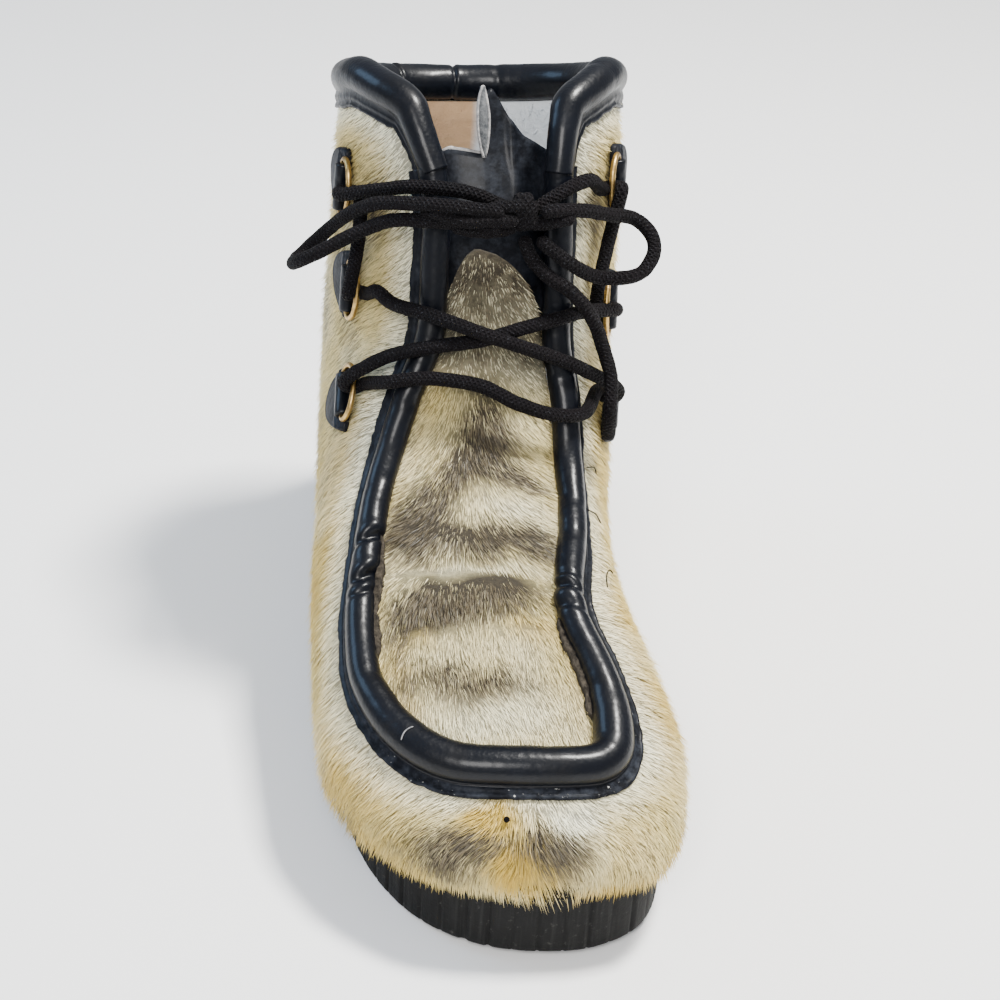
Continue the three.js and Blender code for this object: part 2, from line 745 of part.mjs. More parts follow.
function tongueTop(share) {
  const next = tongueEdge.findIndex((row) => row.across >= share);
  const above = tongueEdge[Math.max(next, 1)];
  const below = tongueEdge[Math.max(next, 1) - 1];
  return THREE.MathUtils.mapLinear(share, below.across, above.across, below.station, above.station);
}

// The leather tongue, inside the wall of the shaft, from below the apron's tip to the collar.
function makeTongue() {
  const rows = 10;
  const columns = tongueEdge.length + 2;
  const shares = [0, 0.2, 0.32, 0.44, 0.5, 0.62, 0.75, 1];
  const start = 0.62;
  const rings = spread(0, 1, rows).map((rise) => {
    const under = [];
    const over = [];
    for (let column = 0; column < columns; column += 1) {
      const share = shares[column];
      const station = THREE.MathUtils.lerp(start, tongueTop(share), rise);
      const middle = (lateralX(station) + medialX(station)) / 2;
      const half = (tongueWidth / 2) * smooth(0.4, 0.75, station);
      const depth = -wall - clearance - facetRoom - 5 * smooth(0.82, 0.93, station);
      const x = middle + half * (2 * share - 1);
      under.push(overFront(station, x, depth - tongueThickness));
      over.push(overFront(station, x, depth));
    }
    return [...under, ...over.reverse()];
  });
  return loft(rings).subtract(collarSpace);
}

function makeInsole() {
  const inset = rimWall + welt + 2 * clearance;
  const low = (y) => footbed(y) + clearance;
  const high = (y) => footbed(y) + clearance + insoleThickness;
  return planPrism(planOutline(inset, outlineSteps), 0, 60).intersect(heightSlab(low, high));
}

// Where each ring's bar lies, from the bottom up: station, and degrees from the big-toe side.
const ringTable = [
  { name: 'lateral_1', side: -1, station: 0.640, turn: 141 },
  { name: 'lateral_2', side: -1, station: 0.784, turn: 141 },
  { name: 'lateral_3', side: -1, station: 0.897, turn: 151 },
  { name: 'medial_1', side: 1, station: 0.640, turn: 30 },
  { name: 'medial_2', side: 1, station: 0.768, turn: 35 },
  { name: 'medial_3', side: 1, station: 0.897, turn: 35 },
];

const tabSeat = clearance + 0.5 * facetRoom;
const bowTilt = 0.18;

// A ring's place and axes: along its bar, towards the throat, and off the skin.
function ringFrame(row) {
  const angle = THREE.MathUtils.degToRad(row.turn);
  const step = 0.01;
  const normal = skinNormal(row.station, angle);
  const bar = skin(row.station + step, angle).sub(skin(row.station - step, angle)).projectOnPlane(normal).normalize();
  const throatward = normal.clone().cross(bar).multiplyScalar(row.side).normalize();
  return { place: { station: row.station, angle }, normal, bar, throatward };
}

// The middle of a ring's bow, moved on towards the throat by beyond.
function bowPoint(name, beyond) {
  const { place, normal, throatward } = ringFrame(ringTable.find((row) => row.name === name));
  const bow = throatward.clone().multiplyScalar(Math.cos(bowTilt)).addScaledVector(normal, Math.sin(bowTilt));
  return liftedPlace(place, tabSeat + tabFoldRadius).addScaledVector(bow, ringBow + beyond);
}

// A D-ring: a straight bar with a bow, as shares of the bar's length and the bow's depth, swept by its wire.
function ringForm(row, grow) {
  const outline = [
    [-0.44, 0], [0, 0], [0.44, 0], [0.5, 0.12], [0.5, 0.42], [0.4, 0.74],
    [0.2, 0.95], [0, 1], [-0.2, 0.95], [-0.4, 0.74], [-0.5, 0.42], [-0.5, 0.12],
  ].map(([across, deep]) => new THREE.Vector3(ringBar * across, ringBow * deep, 0));
  const sides = 6;
  const radius = ringWire / 2 + grow;
  const count = outline.length;
  const points = [];
  const index = [];
  outline.forEach((point, i) => {
    const tangent = outline[(i + 1) % count].clone().sub(outline[(i + count - 1) % count]).normalize();
    const out = new THREE.Vector3(tangent.y, -tangent.x, 0);
    for (let side = 0; side < sides; side += 1) {
      const turn = (2 * Math.PI * side) / sides;
      const rim = point.clone().addScaledVector(out, radius * Math.cos(turn));
      points.push(rim.setZ(radius * Math.sin(turn)));
      const next = (side + 1) % sides;
      const here = i * sides;
      const there = ((i + 1) % count) * sides;
      index.push(here + side, there + side, there + next, here + side, there + next, here + next);
    }
  });
  const geometry = new THREE.BufferGeometry().setFromPoints(points);
  geometry.setIndex(index);
  const { place, normal, bar, throatward } = ringFrame(row);
  const bow = throatward.clone().multiplyScalar(Math.cos(bowTilt)).addScaledVector(normal, Math.sin(bowTilt));
  const axes = new THREE.Matrix4()
    .makeBasis(bar, bow, bar.clone().cross(bow))
    .setPosition(liftedPlace(place, tabSeat + tabFoldRadius));
  geometry.applyMatrix4(axes);
  return toSolid(geometry);
}

// A leather tab: a rounded patch on the fur behind the ring, folded round the ring's bar along its straight edge.
function makeTab(row) {
  const outline = [
    [0.5, 0], [0.5, 0.36], [0.4, 0.76], [0.2, 1], [-0.02, 0.96], [-0.25, 0.7],
    [-0.42, 0.36], [-0.5, 0.04], [-0.25, -0.05], [0, -0.05], [0.25, -0.05],
  ];
  const { place, normal, bar, throatward } = ringFrame(row);
  const middle = 0.42;
  const inner = 0.35;
  const ringAt = (size, lift) => outline.map(([across, deep]) => {
    const back = tabDepth * THREE.MathUtils.lerp(middle, deep, size);
    const step = bar.clone().multiplyScalar(tabLength * across * size).addScaledVector(throatward, -back);
    return liftedPlace(slide(place, step), lift);
  });
  const high = tabSeat + tabThickness;
  const patch = loft([ringAt(inner, tabSeat), ringAt(1, tabSeat), ringAt(1, high), ringAt(inner, high)]);
  const fold = new THREE.CylinderGeometry(tabFoldRadius, tabFoldRadius, ringBar - 2 * ringWire, 8);
  fold.applyMatrix4(new THREE.Matrix4()
    .makeBasis(throatward, bar, throatward.clone().cross(bar))
    .setPosition(liftedPlace(place, tabSeat + tabFoldRadius)));
  return patch.add(toSolid(fold)).subtract(ringForm(row, clearance));
}

// A round lace along a smooth line through points.
function laceForm(points, grow) {
  const sides = 8;
  const radius = laceDiameter / 2 + grow;
  const round = Array.from({ length: sides }, (_, i) => {
    const turn = (2 * Math.PI * i) / sides;
    return new THREE.Vector2(radius * Math.cos(turn), radius * Math.sin(turn));
  });
  const path = new THREE.CatmullRomCurve3(points, false, 'centripetal');
  const steps = Math.max(2, Math.ceil(path.getLength() / (2.5 * laceDiameter)));
  const tube = new THREE.ExtrudeGeometry(new THREE.Shape(round), { steps, extrudePath: path, bevelEnabled: false });
  return toSolid(tube);
}

// Strands of the lace: from one ring to another, with places between them. The turn is in degrees from the big-toe
// side, and over is the lift of the lace's middle, as a share of the lift with which it clears the piping.
const strandTable = [
  {
    from: 'lateral_1',
    to: 'medial_1',
    places: [
      { station: 0.623, turn: 117, over: 0.9 },
      { station: 0.620, turn: 104, over: 1 },
      { station: 0.610, turn: 89, over: 0.95 },
      { station: 0.594, turn: 77, over: 1 },
      { station: 0.589, turn: 65, over: 1 },
      { station: 0.598, turn: 54, over: 1 },
    ],
  },
  {
    from: 'lateral_1',
    to: 'medial_2',
    places: [
      { station: 0.664, turn: 118, over: 0.9 },
      { station: 0.673, turn: 103, over: 1.05 },
      { station: 0.684, turn: 90, over: 1 },
      { station: 0.708, turn: 78, over: 1 },
      { station: 0.725, turn: 68, over: 1 },
      { station: 0.742, turn: 57, over: 0.9 },
    ],
  },
  {
    from: 'lateral_2',
    to: 'medial_1',
    places: [
      { station: 0.766, turn: 123, over: 0.8 },
      { station: 0.748, turn: 117, over: 0.9 },
      { station: 0.725, turn: 104, over: 1.1 },
      { station: 0.691, turn: 88, over: 1.4 },
      { station: 0.662, turn: 69, over: 1.05 },
      { station: 0.653, turn: 58, over: 1 },
    ],
  },
  {
    from: 'lateral_2',
    to: 'lateral_3',
    places: [{ station: 0.835, turn: 134, over: 0.65 }],
  },
  {
    from: 'medial_2',
    to: 'medial_3',
    places: [{ station: 0.830, turn: 45, over: 0.65 }],
  },
  {
    from: 'lateral_3',
    to: 'medial_3',
    places: [
      { station: 0.880, turn: 127, over: 0.9 },
      { station: 0.877, turn: 112, over: 1 },
      { station: 0.866, turn: 95, over: 1 },
      { station: 0.854, turn: 81, over: 1 },
      { station: 0.871, turn: 70, over: 1 },
      { station: 0.888, turn: 59, over: 0.9 },
    ],
  },
];

// The middle of the knot, and the free lines of the bow.
const knotMiddle = new THREE.Vector3(9.5, 11.5, 169.5);
const looseLines = {
  lace_loop_lateral: [
    [3.4, 6.6, 171.2], [-14.8, 7.6, 173.2], [-24, 10.6, 172.6], [-35.4, 17.2, 170], [-43.4, 25, 163.8],
    [-51.2, 35, 153.2], [-58.6, 38, 144.6], [-63, 31, 143], [-61.5, 23, 147], [-56, 19, 151.5],
    [-47.2, 17, 157.4], [-38, 15.6, 162.6], [-31.3, 12.9, 166], [-19.5, 9.6, 167.2], [-11.3, 8.6, 167],
    [3.4, 8, 165.8],
  ],
  lace_loop_medial: [
    [14.8, 7.7, 170.9], [20.6, 8.6, 171.2], [29.4, 12.6, 169.4], [38, 18.4, 165.4], [47.2, 23.4, 161.8],
    [52.4, 20.6, 157.6], [53.2, 17, 153], [49.8, 13, 148.4], [44.6, 10.6, 147.2], [34.6, 10.4, 147.4],
    [25.6, 7, 153.4], [18, 6.4, 159.4], [14.4, 6.8, 162.8],
  ],
  lace_end: [
    [9.8, 9.8, 162], [13.2, 6.6, 155], [18.5, 4.6, 150], [25.4, 3.6, 145.6], [31.2, 4, 138.8],
    [35.2, 5.4, 131.2], [38, 4.6, 123.4], [40.3, 0, 115.4], [40, -4.4, 107], [41.3, 0.6, 93.4],
  ],
};

// All strands between the rings, in one piece: each starts and ends at a ring's bow.
function makeCrossings(grow) {
  const over = pipingRadius * 1.35 + laceDiameter / 2 + 2 * clearance;
  const beyond = ringWire / 2 + laceDiameter / 2 + 2 * clearance;
  return joined(strandTable.map((strand) => {
    const between = strand.places.map((row) => (
      lifted(row.station, THREE.MathUtils.degToRad(row.turn), over * row.over)));
    return laceForm([bowPoint(strand.from, beyond), ...between, bowPoint(strand.to, beyond)], grow);
  }));
}

function makeKnot() {
  const ball = new THREE.SphereGeometry(0.5, 10, 8);
  ball.scale(knotWidth, knotWidth, knotHeight);
  ball.translate(knotMiddle.x, knotMiddle.y, knotMiddle.z);
  return toSolid(ball).subtract(makeCrossings(clearance));
}

const group = new THREE.Group();
const body = new THREE.Box3();

function addMesh(name, solid, material) {
  const mesh = new THREE.Mesh(toGeometry(solid), material);
  mesh.name = name;
  group.add(mesh);
  return mesh;
}

function addBody(name, solid, material) {
  body.expandByObject(addMesh(name, solid, material));
}

addBody('outsole', makeOutsole(), rubberBlack);
addBody('insole', makeInsole(), fleece);
addBody('upper', makeUpper(), furCream);
addBody('apron', makeApron(), furBand);
addBody('tongue', makeTongue(), leatherBlack);
addBody('piping', piping, leatherBlack);
addBody('collar', collar, leatherBlack);
for (const row of ringTable) {
  addBody(`tab_${row.name}`, makeTab(row), leatherBlack);
  addBody(`ring_${row.name}`, ringForm(row, 0), brass);
}
addBody('lace_crossings', makeCrossings(0), braid);
addMesh('lace_knot', makeKnot(), braid);
for (const [name, points] of Object.entries(looseLines)) {
  addMesh(name, laceForm(points.map((point) => new THREE.Vector3(...point)), 0), braid);
}

// The boot stands on the floor, with the middle of its box over the origin.
const middle = body.getCenter(new THREE.Vector3());
group.position.set(-middle.x, -middle.y, -body.min.z);

export default group;
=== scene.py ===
# A lace-up winter boot: fur upper, black leather collar and piping, ribbed rubber cup sole.
# Sizes are in the boot's own millimetres (toe to -Y, big-toe side +X) and go to metres when a mesh is made.
import math

import bpy
import numpy as np
from mathutils import Matrix


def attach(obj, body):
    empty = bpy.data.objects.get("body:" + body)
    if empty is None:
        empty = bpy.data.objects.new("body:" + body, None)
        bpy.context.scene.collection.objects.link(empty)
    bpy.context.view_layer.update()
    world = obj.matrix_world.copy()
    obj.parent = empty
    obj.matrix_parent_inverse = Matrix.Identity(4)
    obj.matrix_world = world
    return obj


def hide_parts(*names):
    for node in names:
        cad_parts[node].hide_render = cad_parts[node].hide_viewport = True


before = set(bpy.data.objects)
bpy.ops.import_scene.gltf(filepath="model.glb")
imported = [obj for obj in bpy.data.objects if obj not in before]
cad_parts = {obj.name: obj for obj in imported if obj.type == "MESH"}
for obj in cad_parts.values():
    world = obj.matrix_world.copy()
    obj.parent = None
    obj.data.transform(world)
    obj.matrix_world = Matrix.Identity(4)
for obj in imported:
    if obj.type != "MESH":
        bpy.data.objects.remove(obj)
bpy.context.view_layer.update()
print("frame loaded")

scene = bpy.context.scene
origin = np.array([0.305, 5.413, 0.0])  # the boot's own origin in the frame

boot = {"length": 280, "heel": 136, "ballWidth": 112, "shaftWidth": 101, "seat": 9, "instep": 106,
        "shaft": 208, "wall": 6.5, "fullness": 2.15, "firstSeam": 0.24, "collarMeet": 0.9, "collarTop": 0.985}


def unit(vectors):
    return vectors / np.maximum(np.linalg.norm(vectors, axis=-1, keepdims=True), 1e-9)


def soft(low, high, value):
    share = np.clip((np.asarray(value, float) - low) / (high - low), 0, 1)
    return share * share * (3 - 2 * share)


def bell(value, middle, width):
    return np.exp(-((np.asarray(value, float) - middle) / width) ** 2)


# Smooth noise from -1 to 1 at points, with lumps of the given size.
def lumps(points, size, seed):
    grid = np.asarray(points, float) / size + seed * 13.7
    cell = np.floor(grid).astype(np.int64)
    part = grid - cell
    part = part * part * (3 - 2 * part)
    total = np.zeros(grid.shape[:-1])
    for corner in range(8):
        step = np.array([corner & 1, (corner >> 1) & 1, (corner >> 2) & 1])
        at = cell + step
        mixed = (at[..., 0] * 73856093) ^ (at[..., 1] * 19349663) ^ (at[..., 2] * 83492791)
        mixed = (mixed ^ (mixed >> 13)) * 1274126177 & 0x7FFFFFFF
        value = (mixed >> 7 & 0xFFFF) / 32767.5 - 1
        total += value * np.prod(np.where(step == 1, part, 1 - part), axis=-1)
    return total


# Node trees: a wire is a socket that takes part in plain arithmetic.
class Wire:
    def __init__(self, kit, node, output):
        self.kit, self.node, self.socket = kit, node, node.outputs[output]

    def out(self, name):
        return Wire(self.kit, self.node, name)

    def __add__(self, other):
        return self.kit.maths("ADD", self, other)

    def __sub__(self, other):
        return self.kit.maths("SUBTRACT", self, other)

    def __rsub__(self, other):
        return self.kit.maths("SUBTRACT", other, self)

    def __mul__(self, other):
        return self.kit.maths("MULTIPLY", self, other)

    def __truediv__(self, other):
        return self.kit.maths("DIVIDE", self, other)

    def __pow__(self, other):
        return self.kit.maths("POWER", self, other)

    __radd__ = __add__
    __rmul__ = __mul__


class Kit:
    def __init__(self, tree):
        self.tree = tree

    def node(self, kind, settings=None, sockets=None, output=0):
        made = self.tree.nodes.new(kind)
        for key, value in (settings or {}).items():
            if key == "stops":
                ramp = made.color_ramp
                while len(ramp.elements) < len(value):
                    ramp.elements.new(0.5)
                for element, (position, tint) in zip(ramp.elements, value):
                    element.position = position
                    element.color = (*tint, 1) if isinstance(tint, tuple) else (tint, tint, tint, 1)
            else:
                setattr(made, key, value)
        for key, value in (sockets or {}).items():
            if isinstance(value, Wire):
                self.tree.links.new(value.socket, made.inputs[key])
            else:
                made.inputs[key].default_value = value
        return Wire(self, made, output)

    def maths(self, operation, *values, clip=False):
        settings = {"operation": operation, "use_clamp": clip}
        return self.node("ShaderNodeMath", settings, dict(enumerate(values)))

    def vector(self, operation, *values):
        return self.node("ShaderNodeVectorMath", {"operation": operation}, dict(enumerate(values)))

    def scaled(self, wire, amount):
        return self.node("ShaderNodeVectorMath", {"operation": "SCALE"}, {0: wire, "Scale": amount})


class Finish(Kit):
    def __init__(self, name, **fixed):
        self.material = bpy.data.materials.new(name)
        self.material.use_nodes = True
        super().__init__(self.material.node_tree)
        self.tree.nodes.clear()
        self.shader = self.tree.nodes.new("ShaderNodeBsdfPrincipled")
        end = self.tree.nodes.new("ShaderNodeOutputMaterial")
        self.tree.links.new(self.shader.outputs[0], end.inputs["Surface"])
        for key, value in fixed.items():
            self.shader.inputs[key.replace("_", " ")].default_value = value
        self.place = self.node("ShaderNodeTexCoord", output="Object")

    def feed(self, key, wire):
        self.tree.links.new(wire.socket, self.shader.inputs[key])
        return self

    def spots(self, scale, detail=3.0, roughness=0.55, stretch=None, distortion=0.0):
        at = self.vector("MULTIPLY", self.place, stretch) if stretch else self.place
        return self.node("ShaderNodeTexNoise", None, {"Vector": at, "Scale": scale, "Detail": detail,
                                                      "Roughness": roughness, "Distortion": distortion}, "Fac")

    def cells(self, scale, feature):
        at = {"Vector": self.place, "Scale": scale}
        return self.node("ShaderNodeTexVoronoi", {"feature": feature}, at, "Distance")

    def span(self, wire, low, high):
        return self.node("ShaderNodeMapRange", {"clamp": True}, {0: wire, 1: low, 2: high, 3: 0.0, 4: 1.0})

    def blend(self, factor, first, second):
        first = first if isinstance(first, Wire) else (*first, 1)
        second = second if isinstance(second, Wire) else (*second, 1)
        return self.node("ShaderNodeMix", {"data_type": "RGBA"}, {0: factor, 6: first, 7: second}, 2)

    def own(self, name):
        return self.node("ShaderNodeAttribute", {"attribute_name": name}, None, "Fac")

    def relief(self, height, depth, strength):
        return self.node("ShaderNodeBump", None, {"Strength": strength, "Distance": depth, "Height": height})


# Meshes
def metres(points):
    return (np.asarray(points, float) + origin) * 0.001


def gridFaces(rows, columns, closed):
    row = np.arange(rows - 1)[:, None]
    column = np.arange(columns if closed else columns - 1)[None, :]
    after = (column + 1) % columns
    faces = np.stack([row * columns + column, row * columns + after,
                      (row + 1) * columns + after, (row + 1) * columns + column], -1)
    return faces.reshape(-1, 4)


# A mesh whose faces look out of the closed form, or the way that the guide vectors point
def meshPiece(name, points, faces, material=None, uv=None, guide=None, marks=None):
    mesh = bpy.data.meshes.new(name)
    points = np.asarray(points, float).reshape(-1, 3)
    a, b, c, d = (points[faces[:, i]] for i in range(4))
    if guide is None:
        outward = np.sum(np.cross(a, b) * c) + np.sum(np.cross(a, c) * d)
    else:
        outward = np.sum(np.cross(b - a, c - a) * guide.reshape(-1, 3)[faces[:, 0]])
    if outward < 0:
        faces = faces[:, ::-1]
        uv = None if uv is None else uv[:, ::-1]
    mesh.from_pydata(metres(points).tolist(), [], faces.tolist())
    for mark, values in (marks or {}).items():
        isVector = np.ndim(values) > 1 and np.shape(values)[-1] == 3
        kind, key = ("FLOAT_VECTOR", "vector") if isVector else ("FLOAT", "value")
        mesh.attributes.new(mark, kind, "POINT").data.foreach_set(key, np.asarray(values, float).ravel())
    if uv is not None:
        mesh.uv_layers.new(name="UVMap").data.foreach_set("uv", np.asarray(uv, float).ravel())
    mesh.polygons.foreach_set("use_smooth", [True] * len(mesh.polygons))
    mesh.update()
    made = bpy.data.objects.new(name, mesh)
    scene.collection.objects.link(made)
    if material:
        mesh.materials.append(material)
    return made


def joinPieces(name, pieces):
    meshes = [piece.data for piece in pieces]
    with bpy.context.temp_override(active_object=pieces[0], selected_editable_objects=pieces, object=pieces[0]):
        bpy.ops.object.join()
    for mesh in meshes[1:]:
        if mesh.users == 0:
            bpy.data.meshes.remove(mesh)
    pieces[0].name = name
    return pieces[0]


# Rows of points that go once round, closed at both ends: drawn together to a point or to the wall's middle
def closedRows(rows, first="point", last="point"):
    ends = []
    for row, kind in ((rows[0], first), (rows[-1], last)):
        ends.append(np.broadcast_to(row.mean(0), row.shape) if kind == "point" else (row + row[::-1]) / 2)
    return np.concatenate([ends[0][None], rows, ends[1][None]])


def closedPiece(name, rows, material, marks=None, first="point", last="point"):
    whole = closedRows(rows, first, last)
    marks = {mark: np.concatenate([values[:1], values, values[-1:]]) for mark, values in (marks or {}).items()}
    return meshPiece(name, whole, gridFaces(*whole.shape[:2], True), material, marks=marks)


# A sheet as one closed form, out along its outer side and back along its inner one, with its marks on both
def wallPiece(name, outer, inner, material, marks, first="wall"):
    marks = {mark: np.concatenate([values, values[:, ::-1]], 1) for mark, values in marks.items()}
    return closedPiece(name, np.concatenate([outer, inner[:, ::-1]], 1), material, marks, first, "wall")


def dress(piece, slot, *nodes):
    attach(piece, "root")
    if nodes:
        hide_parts(*nodes)
    return piece


# Camera, at the photograph's angle
view = {"place": (-0.05856, -0.56625, 0.42691), "down": 32.02, "turn": -0.068, "lens": 71.97, "shift": 0.196}


def makeCamera():
    tilt, turn = math.radians(view["down"]), math.radians(view["turn"])
    ahead = np.array([math.sin(turn) * math.cos(tilt), math.cos(turn) * math.cos(tilt), -math.sin(tilt)])
    right = np.array([math.cos(turn), -math.sin(turn), 0])
    up = np.cross(right, ahead)
    data = bpy.data.cameras.new("camera")
    data.lens, data.sensor_width, data.sensor_fit = view["lens"], 36, "HORIZONTAL"
    data.shift_x = view["shift"]
    camera = bpy.data.objects.new("camera", data)
    turned = Matrix([[right[i], up[i], -ahead[i], view["place"][i]] for i in range(3)] + [[0, 0, 0, 1]])
    camera.matrix_world = turned
    scene.collection.objects.link(camera)
    scene.camera = camera


makeCamera()

# Sections of the boot from the toe to the collar, as in the part: front and back line, half widths, leg and fullness
sections = np.array([
    [1.000, 0.235, 0, 1.000, 0.195, 0, 0.190, -0.060, 0, 2.0],
    [0.996, 0.300, 0, 0.998, 0.120, 0, 0.290, 0.080, 0, 2.2],
    [0.985, 0.345, 0, 0.989, 0.070, 0, 0.365, 0.185, 0, 2.4],
    [0.962, 0.385, 0, 0.968, 0.035, 0, 0.415, 0.268, 0, 2.6],
    [0.928, 0.430, 0, 0.935, 0.010, 0, 0.458, 0.350, 0, 2.7],
    [0.880, 0.490, 0, 0.885, 0, 0, 0.488, 0.425, 0, 2.8],
    [0.820, 0.560, 0, 0.825, 0, 0, 0.500, 0.480, 0, 2.8],
    [0.745, 0.645, 0, 0.745, 0, 0, 0.470, 0.500, 0, 2.7],
    [0.665, 0.740, 0, 0.655, 0, 0, 0.420, 0.505, 0, 2.6],
    [0.590, 0.845, 0, 0.555, 0.010, 0, 0.385, 0.505, 0, 2.6],
    [0.535, 0.940, 0, 0.440, 0.030, 0, 0.390, 0.500, 0.1, 2.7],
    [0.497, 1, 0.08, 0.300, 0.050, 0, 0.420, 0.500, 0.25, 2.8],
    [0.472, 1, 0.18, 0.160, 0.070, 0, 0.450, 0.505, 0.45, 2.8],
    [0.455, 1, 0.29, 0.055, 0.150, 0, 0.470, 0.510, 0.7, 2.7],
    [0.440, 1, 0.42, 0.006, 0.340, 0, 0.480, 0.515, 0.9, 2.5],
    [0.423, 1, 0.56, 0.008, 0.640, 0, 0.490, 0.510, 1, 2.3],
    [0.402, 1, 0.71, 0.032, 0.900, 0.03, 0.490, 0.495, 1, 2.25],
    [0.378, 1, 0.87, 0.052, 1, 0.36, 0.475, 0.480, 1, 2.2],
    [0.355, 1, 1.02, 0.064, 1, 0.78, 0.445, 0.465, 1, 2.2],
])


def sectionLines():
    foot = boot["instep"] - boot["seat"]
    leg = boot["shaft"] - boot["instep"]
    width = boot["ballWidth"] + (boot["shaftWidth"] - boot["ballWidth"]) * sections[:, 8]
    return np.stack([
        boot["heel"] - boot["length"] * sections[:, 0],
        boot["seat"] + foot * sections[:, 1] + leg * sections[:, 2],
        boot["heel"] - boot["length"] * sections[:, 3],
        boot["seat"] + foot * sections[:, 4] + leg * sections[:, 5],
        width * sections[:, 6],
        width * sections[:, 7],
        sections[:, 9],
    ], -1)


lines = sectionLines()


# Between two points with their slopes, at a share t of the way
def between(p1, p2, m1, m2, t):
    return p1 + m1 * t + (3 * (p2 - p1) - 2 * m1 - m2) * t ** 2 + (2 * (p1 - p2) + m1 + m2) * t ** 3


# A smooth line through rows, at shares from 0 to 1 of the way.
def through(rows, share):
    whole = np.vstack([2 * rows[0] - rows[1], rows, 2 * rows[-1] - rows[-2]])
    count = len(rows) - 1
    along = np.clip(share, 0, 1) * count
    first = np.minimum(along.astype(int), count - 1)
    t = (along - first)[..., None]
    p0, p1, p2, p3 = (whole[first + i] for i in range(4))
    return between(p1, p2, (p2 - p0) / 2, (p3 - p1) / 2, t)


# A centripetal line through points, as many points to each stretch as steps says.
def laid(points, steps, closed=False):
    points = np.asarray(points, float)
    count = len(points)
    out = []
    for i in range(count if closed else count - 1):
        if closed:
            p0, p1, p2, p3 = (points[(i + k - 1) % count] for k in range(4))
        else:
            p1, p2 = points[i], points[i + 1]
            p0 = points[i - 1] if i > 0 else 2 * points[0] - points[1]
            p3 = points[i + 2] if i + 2 < count else 2 * points[-1] - points[-2]
        d0, d1, d2 = (max(np.linalg.norm(b - a), 1e-8) ** 0.5 for a, b in ((p0, p1), (p1, p2), (p2, p3)))
        m1 = ((p1 - p0) / d0 - (p2 - p0) / (d0 + d1) + (p2 - p1) / d1) * d1
        m2 = ((p2 - p1) / d1 - (p3 - p1) / (d1 + d2) + (p3 - p2) / d2) * d1
        out.append(between(p1, p2, m1, m2, np.arange(steps)[:, None] / steps))
    if not closed:
        out.append(points[-1:])
    return np.concatenate(out)


# Points at even distances along a line.
def evenly(points, count, closed=False):
    line = np.vstack([points, points[:1]]) if closed else points
    run = np.concatenate([[0], np.cumsum(np.linalg.norm(np.diff(line, axis=0), axis=1))])
    at = np.arange(count) / count * run[-1] if closed else np.linspace(0, run[-1], count)
    return np.stack([np.interp(at, run, line[:, k]) for k in range(line.shape[1])], -1)


def runOf(points):
    return np.concatenate([[0], np.cumsum(np.linalg.norm(np.diff(points, axis=0), axis=1))])


# A point of the boot's skin. Station 0 is at the toe and 1 at the collar. Angle 0 is at the big-toe side and 90
# degrees in front.
def skin(station, angle):
    station, angle = np.broadcast_arrays(np.asarray(station, float), np.asarray(angle, float))
    frontY, frontZ, backY, backZ, medial, lateral, low = np.moveaxis(through(lines, station), -1, 0)
    rise = np.maximum(station - 1, 0) * boot["shaft"]
    sine, cosine = np.sin(angle), np.cos(angle)
    power = 2 / np.where(sine < 0, low, boot["fullness"])
    s = np.sign(sine) * np.abs(sine) ** power
    c = np.sign(cosine) * np.abs(cosine) ** power
    return np.stack([(medial - lateral) / 2 + (medial + lateral) / 2 * c,
                     (frontY + backY) / 2 + (frontY - backY) / 2 * s,
                     (frontZ + backZ) / 2 + rise + (frontZ - backZ) / 2 * s], -1)


def skinNormal(station, angle):
    first = np.maximum(np.asarray(station, float) - 0.004, 0.004)
    along = skin(first + 0.008, angle) - skin(first, angle)
    return unit(np.cross(along, skin(station, np.asarray(angle) + 0.03) - skin(station, np.asarray(angle) - 0.03)))


def lifted(station, angle, lift):
    return skin(station, angle) + skinNormal(station, angle) * np.asarray(lift)[..., None]


def angleAt(station, x):
    rows = through(lines, np.asarray(station, float))
    medial, lateral = rows[..., 4], rows[..., 5]
    share = np.clip((x - (medial - lateral) / 2) / ((medial + lateral) / 2), -0.98, 0.98)
    return np.arccos(np.sign(share) * np.abs(share) ** (boot["fullness"] / 2))


# Steps over the skin from a place by a vector.
def slide(station, angle, vector):
    for _ in range(3):
        along = (skin(station + 0.002, angle) - skin(station - 0.002, angle)) / 0.004
        around = (skin(station, angle + 0.02) - skin(station, angle - 0.02)) / 0.04
        aa, ab, bb = (np.sum(p * q, -1) for p, q in ((along, along), (along, around), (around, around)))
        va, vb = np.sum(along * vector, -1) / 3, np.sum(around * vector, -1) / 3
        whole = np.maximum(aa * bb - ab * ab, 1e-6)
        station = station + (va * bb - vb * ab) / whole
        angle = angle + (vb * aa - va * ab) / whole
    return station, angle


# The throat and apron seams: station, and how far each lies from the middle, in shares of the ball's width
seams = np.array([
    [0.240, -0.040, 0.170], [0.247, -0.120, 0.225], [0.263, -0.190, 0.265], [0.289, -0.260, 0.285],
    [0.332, -0.330, 0.272], [0.371, -0.366, 0.235], [0.410, -0.370, 0.190], [0.447, -0.352, 0.213],
    [0.507, -0.315, 0.235], [0.546, -0.285, 0.230], [0.594, -0.240, 0.225], [0.655, -0.188, 0.210],
    [0.720, -0.155, 0.195], [0.800, -0.150, 0.195], [0.860, -0.145, 0.185], [0.900, -0.168, 0.190],
    [0.945, -0.218, 0.218], [0.978, -0.295, 0.285], [1.000, -0.390, 0.365],
])
seamLines = [laid(np.stack([seams[:, 0], boot["ballWidth"] * seams[:, side]], -1), 24) for side in (1, 2)]


def lateralX(station):
    return np.interp(station, seamLines[0][:, 0], seamLines[0][:, 1])


def medialX(station):
    return np.interp(station, seamLines[1][:, 0], seamLines[1][:, 1])


